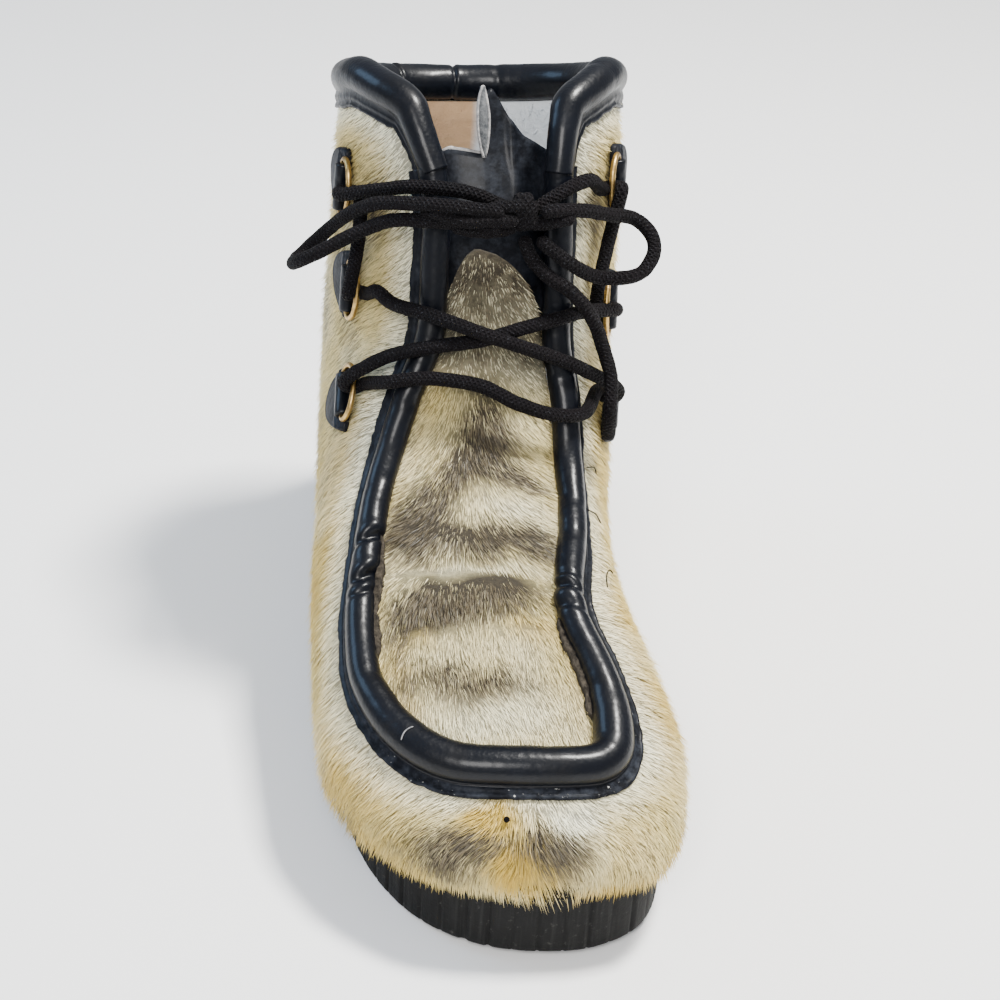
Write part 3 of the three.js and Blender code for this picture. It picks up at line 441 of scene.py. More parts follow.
def midX(station):
    return (lateralX(station) + medialX(station)) / 2


# The sole
sole = {"length": 278, "width": 97, "heel": 133, "bedAtBall": 13, "bedAtHeel": 21, "rimAtBall": 27,
        "rimAtHeel": 34, "spring": 2.5, "arch": 5, "rimWall": 4.2, "ribPitch": 7.6,
        "ribSteps": 10, "ribDepth": 1.1, "treadDepth": 2.6, "treadPitch": 11, "treadGroove": 3.2,
        "treadBorder": 9, "edge": 3.0}
solePlan = np.array([
    [0.000, 0.000], [0.035, 0.235], [0.120, 0.365], [0.250, 0.360], [0.420, 0.325], [0.560, 0.385],
    [0.700, 0.490], [0.800, 0.530], [0.880, 0.510], [0.955, 0.430], [0.990, 0.290], [1.000, 0.140],
    [0.990, -0.070], [0.950, -0.255], [0.872, -0.400], [0.760, -0.480], [0.620, -0.470], [0.450, -0.410],
    [0.280, -0.375], [0.130, -0.370], [0.035, -0.235],
])
soleCorners = np.stack([sole["width"] * solePlan[:, 1], sole["heel"] - sole["length"] * solePlan[:, 0]], -1)
soleLine = laid(soleCorners, 40, True)
soleGirth = float(np.sum(np.linalg.norm(soleLine - np.roll(soleLine, 1, axis=0), axis=1)))


# The sole's plan moved in by an inset, at count even places.
def planRing(count, inset):
    line = evenly(soleLine, count, True)
    tangent = unit(np.roll(line, -1, axis=0) - np.roll(line, 1, axis=0))
    return line + np.stack([tangent[:, 1], -tangent[:, 0]], -1) * np.asarray(inset).reshape(-1, 1)


ballLine = sole["heel"] - sole["length"] * 0.72
toeLine = sole["heel"] - sole["length"]
heelBreast = sole["heel"] - sole["length"] * 0.27
archEnd = sole["heel"] - sole["length"] * 0.46


def rimTop(y):
    rise = (sole["rimAtHeel"] - sole["rimAtBall"]) * soft(ballLine, sole["heel"], y)
    return sole["rimAtBall"] + rise + 1.5 * soft(ballLine, toeLine, y)


def footbed(y):
    rise = (sole["bedAtHeel"] - sole["bedAtBall"]) * soft(ballLine + 20, heelBreast, y)
    return sole["bedAtBall"] + rise + 0.7 * sole["spring"] * soft(ballLine - 10, toeLine, y)


def soleBottom(y):
    toeShare = np.maximum(0, (ballLine - 12 - y) / (ballLine - 12 - toeLine))
    arch = soft(heelBreast + 3, heelBreast - 3, y) * soft(archEnd - 25, archEnd, y)
    return sole["spring"] * toeShare ** 2 + sole["arch"] * arch


# How far a plan point lies inside the sole's outline, and the outline's nearest place.
def insideSole(points):
    ring = planRing(900, 0)
    tangent = unit(np.roll(ring, -1, axis=0) - np.roll(ring, 1, axis=0))
    inward = np.stack([tangent[:, 1], -tangent[:, 0]], -1)
    depth = np.empty(len(points))
    nearest = np.empty(len(points), int)
    for start in range(0, len(points), 4000):
        part = points[start:start + 4000]
        gap = np.linalg.norm(part[:, None, :] - ring[None], axis=-1)
        best = gap.argmin(1)
        nearest[start:start + 4000] = best
        depth[start:start + 4000] = np.sum((part - ring[best]) * inward[best], -1)
    return depth, ring[nearest], inward[nearest]


# The roll of piping and the collar's roll. The seat is a share of the radius, the corners are rounded over so many
# of the fine steps.
leather = {"radius": 4.6, "toeSwell": 1.7, "flange": 4, "flangeThickness": 1.6, "collarRadius": 6.4,
           "collarEnd": 4.68, "collarFlange": 9, "seat": 0.35, "pipingLow": -0.5, "collarLow": -0.4,
           "pipingCorner": 45, "collarCorner": 60, "fine": 1600}


# Rows with their corners rounded, the ends kept
def rounded(rows, reach):
    ahead = 2 * rows[-1] - rows[-2:-2 - reach:-1]
    before = 2 * rows[0] - rows[reach:0:-1]
    whole = np.concatenate([before, rows, ahead])
    weight = np.hanning(2 * reach + 1)
    return np.stack([np.convolve(column, weight / weight.sum(), "valid") for column in whole.T], -1)


def pipingPath(count):
    stations = np.concatenate([np.linspace(boot["collarMeet"] - 0.004, 0.42, 12), np.linspace(0.39, 0.275, 5),
                               [0.258, 0.248, 0.242]])
    first = boot["firstSeam"]
    lateral = np.stack([stations, angleAt(stations, lateralX(stations))], -1)
    medial = np.stack([stations, angleAt(stations, medialX(stations))], -1)[::-1]
    low, high = lateralX(first), medialX(first)
    before = first - 0.002
    front = np.array([[before, float(angleAt(before, low + (high - low) * share))] for share in (0.3, 0.7)])
    rows = np.concatenate([lateral, front, medial])[::-1]
    rows = rounded(through(rows, np.linspace(0, 1, leather["fine"])), leather["pipingCorner"])
    at = runOf(skin(rows[:, 0], rows[:, 1]))
    wanted = np.linspace(0, at[-1], count)
    station, angle = (np.interp(wanted, at, rows[:, k]) for k in (0, 1))
    toeShare = 1 - soft(first, 0.42, station)
    return {"station": station, "angle": angle, "run": wanted,
            "side": np.where(np.arange(count) < count / 2, 1, -1),
            "radius": leather["radius"] + leather["toeSwell"] * toeShare,
            "seat": np.full(count, leather["radius"] * leather["seat"]),
            "flange": np.full(count, float(leather["flange"])), "flangeLow": np.full(count, leather["pipingLow"])}


def collarPath(count):
    edge = np.array([boot["collarMeet"] - 0.010, 0.925, 0.945, 0.962])
    top = boot["collarTop"]
    lateral = np.stack([edge, angleAt(edge, lateralX(edge))], -1)
    medial = np.stack([edge, angleAt(edge, medialX(edge)) + 2 * math.pi], -1)[::-1]
    start = float(angleAt(top, lateralX(0.99))) + 0.12
    end = float(angleAt(top, medialX(0.99))) + 2 * math.pi - 0.12
    back = np.stack([np.full(19, top), np.linspace(start, end, 19)], -1)
    rows = np.concatenate([lateral, back, medial])
    number = np.arange(len(rows))
    full = soft(0, 5, np.minimum(number, len(rows) - 1 - number))
    rows = np.concatenate([rows, full[:, None]], 1)
    rows = rounded(through(rows, np.linspace(0, 1, leather["fine"])), leather["collarCorner"])
    at = runOf(skin(rows[:, 0], rows[:, 1]))
    wanted = np.linspace(0, at[-1], count)
    station, angle, full = (np.interp(wanted, at, rows[:, k]) for k in (0, 1, 2))
    full = np.clip(full, 0, 1)
    flange = leather["flange"] + (leather["collarFlange"] - leather["flange"]) * full
    return {"station": station, "angle": angle, "run": wanted, "side": np.zeros(count),
            "radius": leather["collarEnd"] + (leather["collarRadius"] - leather["collarEnd"]) * full,
            "seat": leather["radius"] * leather["seat"] * (1 - full) - boot["wall"] / 2 * full,
            "flange": flange * 0.5, "flangeLow": np.full(count, leather["collarLow"])}


pipe = pipingPath(780)
collarRoll = collarPath(470)
pipeLine = skin(pipe["station"], pipe["angle"])
collarLine = skin(collarRoll["station"], collarRoll["angle"])
print("lines ready")


# Finishes
def leatherFinish():
    made = Finish("blackLeather", IOR=1.45, Coat_Roughness=0.23, Specular_IOR_Level=0.13)
    grain = made.cells(950, "SMOOTH_F1")
    pores = made.spots(2600, 2)
    folds = made.spots(60, 4, distortion=0.6)
    worn = made.span(made.spots(55, 5, 0.7), 0.56, 0.74)
    flecks = made.span(made.spots(900, 2, 0.4), 0.70, 0.78) * made.span(made.own("dusty"), 0.62, 0.95)
    black = made.blend(folds, (0.0010, 0.0012, 0.0020), (0.0030, 0.0042, 0.0080))
    brown = made.blend(worn * 0.35, black, (0.010, 0.009, 0.009))
    film = made.own("dusty") * made.span(made.spots(240, 4, 0.7), 0.42, 0.7)
    dusty = made.blend(film, brown, (0.026, 0.030, 0.040))
    made.feed("Base Color", made.blend(flecks, dusty, (0.45, 0.45, 0.43)))
    made.feed("Roughness", 0.33 + made.spots(130, 4) * 0.16 + worn * 0.14 + made.own("dusty") * 0.30)
    made.feed("Coat Weight", made.maths("SUBTRACT", 0.26, made.own("dusty") * 0.24 + worn * 0.12, clip=True))
    made.feed("Normal", made.relief(grain * -1 + pores * 0.35 + made.spots(330, 3) * 0.9, 0.00024, 0.42))
    return made.material


def suedeFinish(name, low, high):
    made = Finish(name, Roughness=0.95, Specular_IOR_Level=0.2)
    nap = made.spots(1400, 4, 0.7)
    made.feed("Base Color", made.blend(made.span(made.spots(520, 4, 0.7), 0.35, 0.65), low, high))
    made.feed("Normal", made.relief(nap, 0.0005, 0.6))
    return made.material


def rubberFinish():
    made = Finish("soleRubber", IOR=1.45, Specular_IOR_Level=0.10)
    mottled = made.spots(75, 6, 0.65)
    streaks = made.spots(900, 3, stretch=(1, 1, 0.05))
    dust = made.span(made.spots(420, 5, 0.75), 0.60, 0.78)
    base = made.blend(mottled, (0.003, 0.003, 0.003), (0.013, 0.013, 0.013))
    rubbed = made.blend(made.span(streaks, 0.5, 0.75) * 0.4, base, (0.028, 0.028, 0.027))
    made.feed("Base Color", made.blend(dust * 0.35, rubbed, (0.16, 0.155, 0.145)))
    made.feed("Roughness", 0.52 + mottled * 0.28 + dust * 0.15)
    made.feed("Normal", made.relief(streaks * 0.8 + made.spots(1500, 3) * 0.5 + made.spots(180, 4), 0.0005, 0.5))
    return made.material


def brassFinish():
    made = Finish("agedBrass", Metallic=1.0)
    dull = made.spots(420, 5, 0.7)
    made.feed("Base Color", made.blend(made.span(dull, 0.35, 0.7), (0.62, 0.42, 0.15), (0.24, 0.15, 0.06)))
    made.feed("Roughness", 0.22 + dull * 0.34)
    made.feed("Normal", made.relief(made.spots(1800, 3), 0.0002, 0.3))
    return made.material


def braidFinish():
    made = Finish("blackBraid", Roughness=0.8, Specular_IOR_Level=0.12)
    chart = made.node("ShaderNodeUVMap", {"uv_map": "UVMap"})
    turned = made.node("ShaderNodeMapping", None, {"Vector": chart, "Scale": (-1.0, 1.0, 1.0)})
    bands = {"wave_type": "BANDS", "bands_direction": "DIAGONAL", "wave_profile": "SIN"}
    weave = made.maths("MAXIMUM", *(made.node("ShaderNodeTexWave", bands, {"Vector": at, "Scale": 1.15}, "Fac")
                                    for at in (chart, turned)))
    threads = made.spots(2600, 2)
    glint = made.span(made.spots(2100, 2, 0.5), 0.60, 0.72) * weave
    base = made.blend(made.spots(60, 3), (0.0014, 0.0014, 0.0022), (0.0055, 0.0034, 0.0045))
    made.feed("Base Color", made.blend(glint * 0.5, base, (0.07, 0.075, 0.09)))
    made.feed("Normal", made.relief(weave + threads * 0.45, 0.0013, 0.9))
    return made.material


def coatColour(made, depth):
    dark, straw, pale, tone = (made.own(name) for name in ("dark", "straw", "pale", "tone"))
    mottle = made.spots(190, 4, 0.6)
    cream = made.blend(made.span(mottle, 0.3, 0.7), (0.56, 0.43, 0.13), (0.76, 0.64, 0.27))
    yellow = made.blend(straw, cream, (0.60, 0.40, 0.055))
    light = made.blend(pale, yellow, (0.97, 0.94, 0.72))
    speckle = ((tone - 0.5) + (mottle - 0.5) * 0.75) * (dark * 0.75 + 0.40)
    share = made.maths("ADD", dark * 1.2, speckle, clip=True)
    shade = made.span(share, 0.17, 0.80)
    tint = made.blend(shade, light, made.blend(tone, (0.018, 0.014, 0.009), (0.15, 0.115, 0.060)))
    # the fur colour is multiplied by depth, a painted shade ramp handed in by the finish that calls this
    return made.node("ShaderNodeMix", {"data_type": "RGBA", "blend_type": "MULTIPLY"},
                     {0: 1.0, 6: tint, 7: depth}, 2)


def furFinish():
    made = Finish("furHair", IOR=1.5)
    rise, tone = made.own("rise"), made.own("tone")
    # painted shade: each hair darkens toward its root, down to 0.38, for the shade deep in the coat
    stops = [(0.0, 0.38), (0.22, 0.62), (0.6, 0.98), (1.0, 1.0)]
    depth = made.node("ShaderNodeValToRGB", {"stops": stops}, {0: rise})
    made.feed("Base Color", coatColour(made, depth))
    made.feed("Roughness", 0.46 + tone * 0.22)
    return made.material


def peltFinish():
    made = Finish("furPelt", Roughness=0.95)
    wool = made.spots(700, 5, 0.7)
    # painted shade: the pelt seen between the hairs is darkened to 0.22-0.5, darkest in the hollows of its wool
    # relief
    depth = made.node("ShaderNodeValToRGB", {"stops": [(0.3, 0.22), (0.8, 0.5)]}, {0: wool})
    made.feed("Base Color", coatColour(made, depth))
    made.feed("Normal", made.relief(wool, 0.0012, 0.8))
    return made.material


def fleeceFinish():
    made = Finish("whiteFleece", Roughness=0.96, Sheen_Weight=0.3)
    curl = made.spots(260, 5, 0.65)
    # painted shade: the white and the tan are darker where the curl relief is low, in the hollows between the curls
    white = made.blend(curl, (0.52, 0.56, 0.60), (0.86, 0.89, 0.92))
    tan = made.blend(curl, (0.48, 0.29, 0.15), (0.70, 0.45, 0.26))
    made.feed("Base Color", made.blend(made.own("tan"), white, tan))
    made.feed("Normal", made.relief(curl + made.spots(1200, 3) * 0.4, 0.0012, 0.7))
    return made.material


blackLeather, soleRubber, agedBrass = leatherFinish(), rubberFinish(), brassFinish()
greySuede = suedeFinish("greySuede", (0.008, 0.0065, 0.005), (0.060, 0.050, 0.038))
lipSuede = suedeFinish("lipSuede", (0.045, 0.050, 0.056), (0.15, 0.155, 0.16))
paleEdge = suedeFinish("paleEdge", (0.16, 0.16, 0.17), (0.42, 0.41, 0.40))
blackBraid, furHair, furPelt, whiteFleece = braidFinish(), furFinish(), peltFinish(), fleeceFinish()

# Laces. Strands from ring to ring, and the knot with its loops and its end
lace = {"width": 4.6, "sides": 14, "step": 0.9, "play": 0.15, "clearance": 0.6, "knotMiddle": (9.5, 11.5, 169.5),
        "wrapHalf": 2.3, "wrapDeep": 2.5, "wrapHigh": 4.1, "wrapTurns": (-0.15, 2.2), "wrapPoints": 46,
        "tucked": [[(11, 9.0, 172.4), (4, 8.4, 172.6), (-6, 8.6, 170.4), (-15, 9.4, 169.6), (-23, 11.0, 168.8)],
                   [(-20, 9.0, 171.2), (-10, 6.2, 168.6), (0, 6.2, 169), (8, 7.0, 168.2)],
                   [(8, 9.6, 165.6), (1, 8.6, 164.4), (-6, 8.2, 164.6), (-13, 8.6, 166)],
                   [(7, 9.4, 167.4), (14, 9.0, 166.6), (20, 8.6, 167.6), (26, 9.4, 168.6)]]}
ring = {"wire": 1.9, "bar": 19, "bow": 9, "tilt": 0.18, "fold": 2.7, "seat": 0.7, "sides": 14}
tab = {"length": 23, "depth": 15, "thickness": 2.0, "ridges": (3.4, 5.4), "dusty": 0.6, "foldPoints": 28}
rings = {
    "lateral_1": (-1, 0.640, 141), "lateral_2": (-1, 0.784, 141), "lateral_3": (-1, 0.897, 151),
    "medial_1": (1, 0.640, 30), "medial_2": (1, 0.768, 35), "medial_3": (1, 0.897, 35),
}
strands = [
    ("lateral_1", "medial_1", [(0.623, 117, 0.9), (0.620, 104, 1), (0.610, 89, 0.95), (0.594, 77, 1), (0.589, 65, 1),
                               (0.598, 54, 1)]),
    ("lateral_1", "medial_2", [(0.664, 118, 0.9), (0.673, 103, 1.05), (0.684, 90, 1), (0.708, 78, 1), (0.725, 68, 1),
                               (0.742, 57, 0.9)]),
    ("lateral_2", "medial_1", [(0.766, 123, 0.8), (0.748, 117, 0.9), (0.725, 104, 1.1), (0.691, 88, 1.4),
                               (0.662, 69, 1.05), (0.653, 58, 1)]),
    ("lateral_2", "lateral_3", [(0.835, 134, 0.65)]),
    ("medial_2", "medial_3", [(0.830, 45, 0.65)]),
    ("lateral_3", "medial_3", [(0.880, 127, 0.9), (0.877, 112, 1), (0.866, 95, 1), (0.854, 81, 1), (0.871, 70, 1),
                               (0.888, 59, 0.9)]),
]
looseLines = {
    "laceLoopLateral": [
        (3.4, 6.6, 171.2), (-14.8, 7.6, 173.2), (-24, 10.6, 172.6), (-35.4, 17.2, 170), (-43.4, 25, 163.8),
        (-51.2, 35, 153.2), (-58.6, 38, 144.6), (-63, 31, 143), (-61.5, 23, 147), (-56, 19, 151.5),
        (-47.2, 17, 157.4), (-38, 15.6, 162.6), (-31.3, 12.9, 166), (-19.5, 9.6, 167.2), (-11.3, 8.6, 167),
        (3.4, 8, 165.8)],
    "laceLoopMedial": [
        (14.8, 7.7, 170.9), (20.6, 8.6, 171.2), (29.4, 12.6, 169.4), (38, 18.4, 165.4), (47.2, 23.4, 161.8),
        (52.4, 20.6, 157.6), (53.2, 17, 153), (49.8, 13, 148.4), (44.6, 10.6, 147.2), (34.6, 10.4, 147.4),
        (25.6, 7, 153.4), (18, 6.4, 159.4), (14.4, 6.8, 162.8)],
    "laceEnd": [
        (9.8, 9.8, 162), (13.2, 6.6, 155), (18.5, 4.6, 150), (25.4, 3.6, 145.6), (31.2, 4, 138.8),
        (35.2, 5.4, 131.2), (38, 4.6, 123.4), (40.3, 0, 115.4), (40, -4.4, 107), (41.3, 0.6, 93.4)],
}


# A tube along a line, with rounded ends or closed on itself. The UV runs in lace widths along and once round.
def tube(name, line, radius, sides, material, closed=False, wobble=0.0, seed=1):
    tangent = unit(np.roll(line, -1, 0) - np.roll(line, 1, 0)) if closed else unit(np.gradient(line, axis=0))
    frames = [np.cross(tangent[0], (0.31, 0.52, 0.79))]
    for i in range(1, len(line)):
        turned = frames[-1] - tangent[i] * np.dot(frames[-1], tangent[i])
        frames.append(turned / max(np.linalg.norm(turned), 1e-9))
    across = unit(np.array(frames))
    if closed:  # spread the twist so that the ends meet
        last = across[-1] - tangent[0] * np.dot(across[-1], tangent[0])
        twist = math.atan2(np.dot(np.cross(last, across[0]), tangent[0]), np.dot(last, across[0]))
        turn = (np.arange(len(line)) / len(line) * twist)[:, None]
        across = across * np.cos(turn) + np.cross(tangent, across) * np.sin(turn)
    other = np.cross(tangent, across)
    around = np.arange(sides) / sides * 2 * math.pi
    size = np.full((len(line), 1), float(radius))
    run = runOf(line)
    if not closed:
        size *= np.sqrt(np.clip(1 - np.clip(1 - run / radius, 0, 0.98) ** 2, 0, 1))[:, None]
        size *= np.sqrt(np.clip(1 - np.clip(1 - (run[-1] - run) / radius, 0, 0.98) ** 2, 0, 1))[:, None]
    rows = line[:, None] + size[..., None] * (across[:, None] * np.cos(around)[None, :, None]
                                              + other[:, None] * np.sin(around)[None, :, None])
    if wobble:
        rows = rows + unit(rows - line[:, None]) * (wobble * lumps(rows, 2.6, seed))[..., None]
    if closed:
        rows = np.concatenate([rows, rows[:1]])
        faces = gridFaces(len(rows), sides, True)
        faces = np.where(faces >= len(line) * sides, faces - len(line) * sides, faces)
        rows = rows[:-1]
        run = np.append(run, run[-1] + np.linalg.norm(line[0] - line[-1]))
    else:
        rows = closedRows(rows)
        faces = gridFaces(len(rows), sides, True)
        run = np.concatenate([run[:1], run, run[-1:]])
    count = len(faces) // sides
    row = np.repeat(np.arange(count), sides)
    column = np.tile(np.arange(sides), count)
    u = np.stack([column, column + 1, column + 1, column], -1) / sides
    after = np.minimum(row + 1, len(run) - 1)
    v = run[np.stack([row, row, after, after], -1)]
    uv = np.stack([u * 4, v / lace["width"] * 1.6], -1)
    return meshPiece(name, rows, faces, material, uv=uv.reshape(-1, 4, 2))


def ringFrame(name):
    side, station, degrees = rings[name]
    angle = math.radians(degrees)
    normal = skinNormal(station, angle)
    bar = skin(station + 0.01, angle) - skin(station - 0.01, angle)
    bar = unit(bar - normal * np.dot(bar, normal))
    throatward = unit(np.cross(normal, bar) * side)
    bow = throatward * math.cos(ring["tilt"]) + normal * math.sin(ring["tilt"])
    middle = lifted(station, angle, ring["seat"] + ring["fold"])
    face = unit(np.cross(bow, bar))
    face = face if np.dot(face, normal) > 0 else -face
    return {"station": station, "angle": angle, "normal": normal, "bar": bar, "throatward": throatward,
            "bow": bow, "face": face, "middle": middle}


def throughRing(name, beyond, lift):
    at = ringFrame(name)
    return at["middle"] + at["bow"] * (ring["bow"] + beyond) + at["face"] * lift


def strandPoints(strand):
    clearOver = leather["radius"] * (1 + leather["seat"]) + lace["width"] / 2 + lace["clearance"]
    return [lifted(station, math.radians(degrees), clearOver * over) for station, degrees, over in strand[2]]


# The whole laced run: from the knot down the lateral side, across and back up to the knot on the medial side
def lacedLine():
    seatOver = lace["width"] / 2 + ring["wire"] / 2 + lace["play"]
    seatUnder = -seatOver
    inside = seatUnder - 0.05

    def over(name):
        return [throughRing(name, 1.2, seatOver), throughRing(name, inside * 0.62, seatOver * 0.62)]

    def under(name):
        return [throughRing(name, inside * 0.62, seatUnder * 0.35), throughRing(name, 1.4, seatUnder * 0.92)]

    first, cross, climb, lateralUp, medialUp, top = (strandPoints(strand) for strand in strands)
    knot = np.array(lace["knotMiddle"])
    toKnot = [point for point in top if point[0] < knot[0] - 2]
    fromKnot = [point for point in top if point[0] > knot[0] + 6]
    line = [knot + (-2.5, 1.2, -0.8)] + toKnot[::-1] + over("lateral_3") + under("lateral_3") + lateralUp[::-1]
    line += over("lateral_2") + under("lateral_2") + climb + over("medial_1") + under("medial_1") + first[::-1]
    line += under("lateral_1")[::-1] + over("lateral_1")[::-1] + cross + over("medial_2") + under("medial_2")
    line += medialUp + over("medial_3") + under("medial_3") + fromKnot[::-1] + [knot + (2.5, 1.2, -0.8)]
    return np.array(line)


def makeLaces():
    line = laid(lacedLine(), 16)
    line = evenly(line, int(runOf(line)[-1] / lace["step"]))
    crossings = tube("laceCrossings", line, lace["width"] / 2, lace["sides"], blackBraid, wobble=0.12)
    dress(crossings, "lace_black", "lace_crossings")
    knot = np.array(lace["knotMiddle"])
    turn = np.linspace(*lace["wrapTurns"], lace["wrapPoints"]) * 2 * math.pi
    along = np.linspace(-lace["wrapHalf"], lace["wrapHalf"], lace["wrapPoints"]) + 0.5 * np.sin(turn)
    wrap = knot + np.stack([along, -lace["wrapDeep"] * np.cos(turn), lace["wrapHigh"] * np.sin(turn)], -1)
    runs = [evenly(laid(wrap, 4), 90)]
    runs += [evenly(laid(np.array(line, float), 16), 60) for line in lace["tucked"]]
    parts = [tube("laceWrap" + str(number), line, lace["width"] / 2, lace["sides"], blackBraid, wobble=0.2,
                  seed=5 + number) for number, line in enumerate(runs)]
    knotPiece = joinPieces("laceKnot", parts)
    dress(knotPiece, "lace_black", "lace_knot")
    for name, node in (("laceLoopLateral", "lace_loop_lateral"), ("laceLoopMedial", "lace_loop_medial"),
                       ("laceEnd", "lace_end")):
        line = laid(np.array(looseLines[name], float), 16)
        length = runOf(line)[-1]
        line = evenly(line, int(length / lace["step"]))
        loop = tube(name, line, lace["width"] / 2, lace["sides"], blackBraid, wobble=0.14, seed=len(name))
        dress(loop, "lace_black", node)
        print(name, "is", round(float(length)), "mm long")


makeLaces()
print("laces done")


# D-rings, and the tabs that are folded round their bars
def makeRing(name):
    at = ringFrame(name)
    outline = [(-0.44, 0), (0, 0), (0.44, 0), (0.5, 0.12), (0.5, 0.42), (0.4, 0.74), (0.2, 0.95), (0, 1),
               (-0.2, 0.95), (-0.4, 0.74), (-0.5, 0.42), (-0.5, 0.12)]
    points = np.array([at["middle"] + at["bar"] * ring["bar"] * across + at["bow"] * ring["bow"] * deep
                       for across, deep in outline])
    line = evenly(laid(points, 12, True), 96, True)
    made = tube("dRing_" + name, line, ring["wire"] / 2, ring["sides"], agedBrass, True)
    return dress(made, "brass", "ring_" + name)


def makeTab(name):
    at = ringFrame(name)
    outline = np.array([(0.5, 0), (0.5, 0.36), (0.4, 0.76), (0.2, 1), (-0.02, 0.96), (-0.25, 0.7), (-0.42, 0.36),
                        (-0.5, 0.04), (-0.25, -0.05), (0, -0.05), (0.25, -0.05)])
    outline = evenly(laid(outline, 12, True), 72, True)
    sizes = np.concatenate([np.linspace(0.05, 0.92, 16), [0.96, 0.985, 1.0]])
    rise = np.concatenate([np.ones(16), [0.93, 0.75, 0.45]])
    across = outline[None, :, 0] * sizes[:, None]
    deep = 0.42 + (outline[None, :, 1] - 0.42) * sizes[:, None]
    step = (at["bar"] * tab["length"] * across[..., None]) - at["throatward"] * tab["depth"] * deep[..., None]
    station, angle = slide(np.full(across.shape, at["station"]), np.full(across.shape, at["angle"]), step)
    ridge = sum(0.45 * bell(deep * tab["depth"], place, 0.55) for place in tab["ridges"])
    stitched = -0.22 * bell(deep * tab["depth"], sum(tab["ridges"]) / 2, 0.5)
    edge = 0.18 * bell(sizes[:, None], 0.86, 0.035)
    worn = 0.12 * lumps(skin(station, angle), 4.0, 3)
    high = ring["seat"] + tab["thickness"] * rise[:, None] + (ridge + stitched + worn - edge) * rise[:, None]
    top = lifted(station, angle, high)
    under = lifted(station, angle, np.full(across.shape, ring["seat"]))
    rows = np.concatenate([top, under[::-1]])
    dusty = np.full(rows.shape[:2], tab["dusty"])
    patch = closedPiece("tab_" + name + "_leather", rows, blackLeather, {"dusty": dusty})
    length = ring["bar"] - 2 * ring["wire"] + 0.4
    places = np.concatenate([[-0.5, -0.5, -0.49, -0.47], np.linspace(-0.44, 0.44, 24), [0.47, 0.49, 0.5, 0.5]])
    shrink = np.concatenate([[0.55, 0.8, 0.93, 0.985], np.ones(24), [0.985, 0.93, 0.8, 0.55]])
    around = np.linspace(0, 2 * math.pi, tab["foldPoints"], endpoint=False)
    rows = []
    for place, size in zip(places, shrink):
        wrapped = np.stack([np.full(len(around), place * 9), np.cos(around) * 2, np.sin(around) * 2], -1)
        radius = ring["fold"] * size * (1 + 0.05 * lumps(wrapped, 1.1, 7))
        rows.append(at["middle"] + at["bar"] * length * place + at["throatward"] * (radius * np.cos(around))[:, None]
                    + at["normal"] * (radius * np.sin(around))[:, None])
    fold = closedPiece("fold_" + name, np.array(rows), blackLeather)
    made = joinPieces("ringTab_" + name, [patch, fold])
    return dress(made, "leather_black", "tab_" + name)


for name in rings:
    makeRing(name)
    makeTab(name)
print("rings and tabs done")


# Leather rolls with a flange: the piping of the apron and throat, and the collar
kinks = [  # side, station, depth, width of the creases across the roll
    (-1, 0.468, 1.9, 1.5), (-1, 0.437, 2.1, 1.7), (-1, 0.424, 0.7, 0.9), (-1, 0.520, 0.35, 2.6), (1, 0.428, 0.6, 0.9),
    (1, 0.418, 2.2, 1.4), (1, 0.400, 0.7, 1.0), (1, 0.505, 0.4, 2.6), (-1, 0.350, 0.35, 3.0), (1, 0.330, 0.3, 3.0),
    (-1, 0.600, 0.4, 2.4), (1, 0.640, 0.4, 2.2), (1, 0.470, 0.4, 3.0), (-1, 0.720, 0.4, 3.0), (1, 0.780, 0.4, 3.0),
]


def pipingRelief(path, turn):
    run = path["run"][:, None] + 0 * turn
    wrapped = np.stack([run / 1.5, np.cos(turn) * 1.6, np.sin(turn) * 1.6], -1)
    broad = np.stack([run / 9, np.cos(turn) * 0.9, np.sin(turn) * 0.9], -1)
    relief = 0.05 * lumps(wrapped, 1, 2) + 0.16 * lumps(broad, 1, 4) + 0.03 * lumps(wrapped * 2.3, 1, 6)
    for side, station, depth, width in kinks:
        ours = np.where(path["side"] == side)[0]
        middle = path["run"][ours[np.argmin(np.abs(path["station"][ours] - station))]]
        bent = run + side * 1.5 * (turn - 2.0) + 0.5 * np.sin(turn * 2 + station * 40)
        inner = 0.25 + 0.75 * bell(turn, 2.3, 1.0)
        relief = relief - depth * inner * bell(bent, middle, width)
        relief = relief + 0.35 * depth * inner * bell(bent, middle + 2.6 * width, 1.5 * width)
    return relief


# How far along the collar's roll a place at its back lies, from the place's x
def behindAt(path, x, least):
    back = np.where(collarLine[:, 1] > least)[0]
    return path["run"][back[np.argmin(np.abs(collarLine[back, 0] - x))]]


def collarRelief(path, turn):
    run = path["run"][:, None] + 0 * turn
    wrapped = np.stack([run / 2.2, np.cos(turn) * 1.4, np.sin(turn) * 1.4], -1)
    broad = np.stack([run / 16, np.cos(turn) * 0.8, np.sin(turn) * 0.8], -1)
    relief = 0.07 * lumps(wrapped, 1, 8) + 0.34 * lumps(broad, 1, 9)
    for x in (-30.0, -6.5):  # seams of the back band
        middle = behindAt(path, x, 60)
        relief = relief - 0.7 * bell(run, middle, 0.7) + 0.2 * bell(run, middle + 1.6, 0.9)
    for x in (38.0, 10.0, -44.0):  # shallow dents
        relief = relief - 0.3 * bell(run + 1.5 * np.sin(turn), behindAt(path, x, 40), 1.6)
    return relief


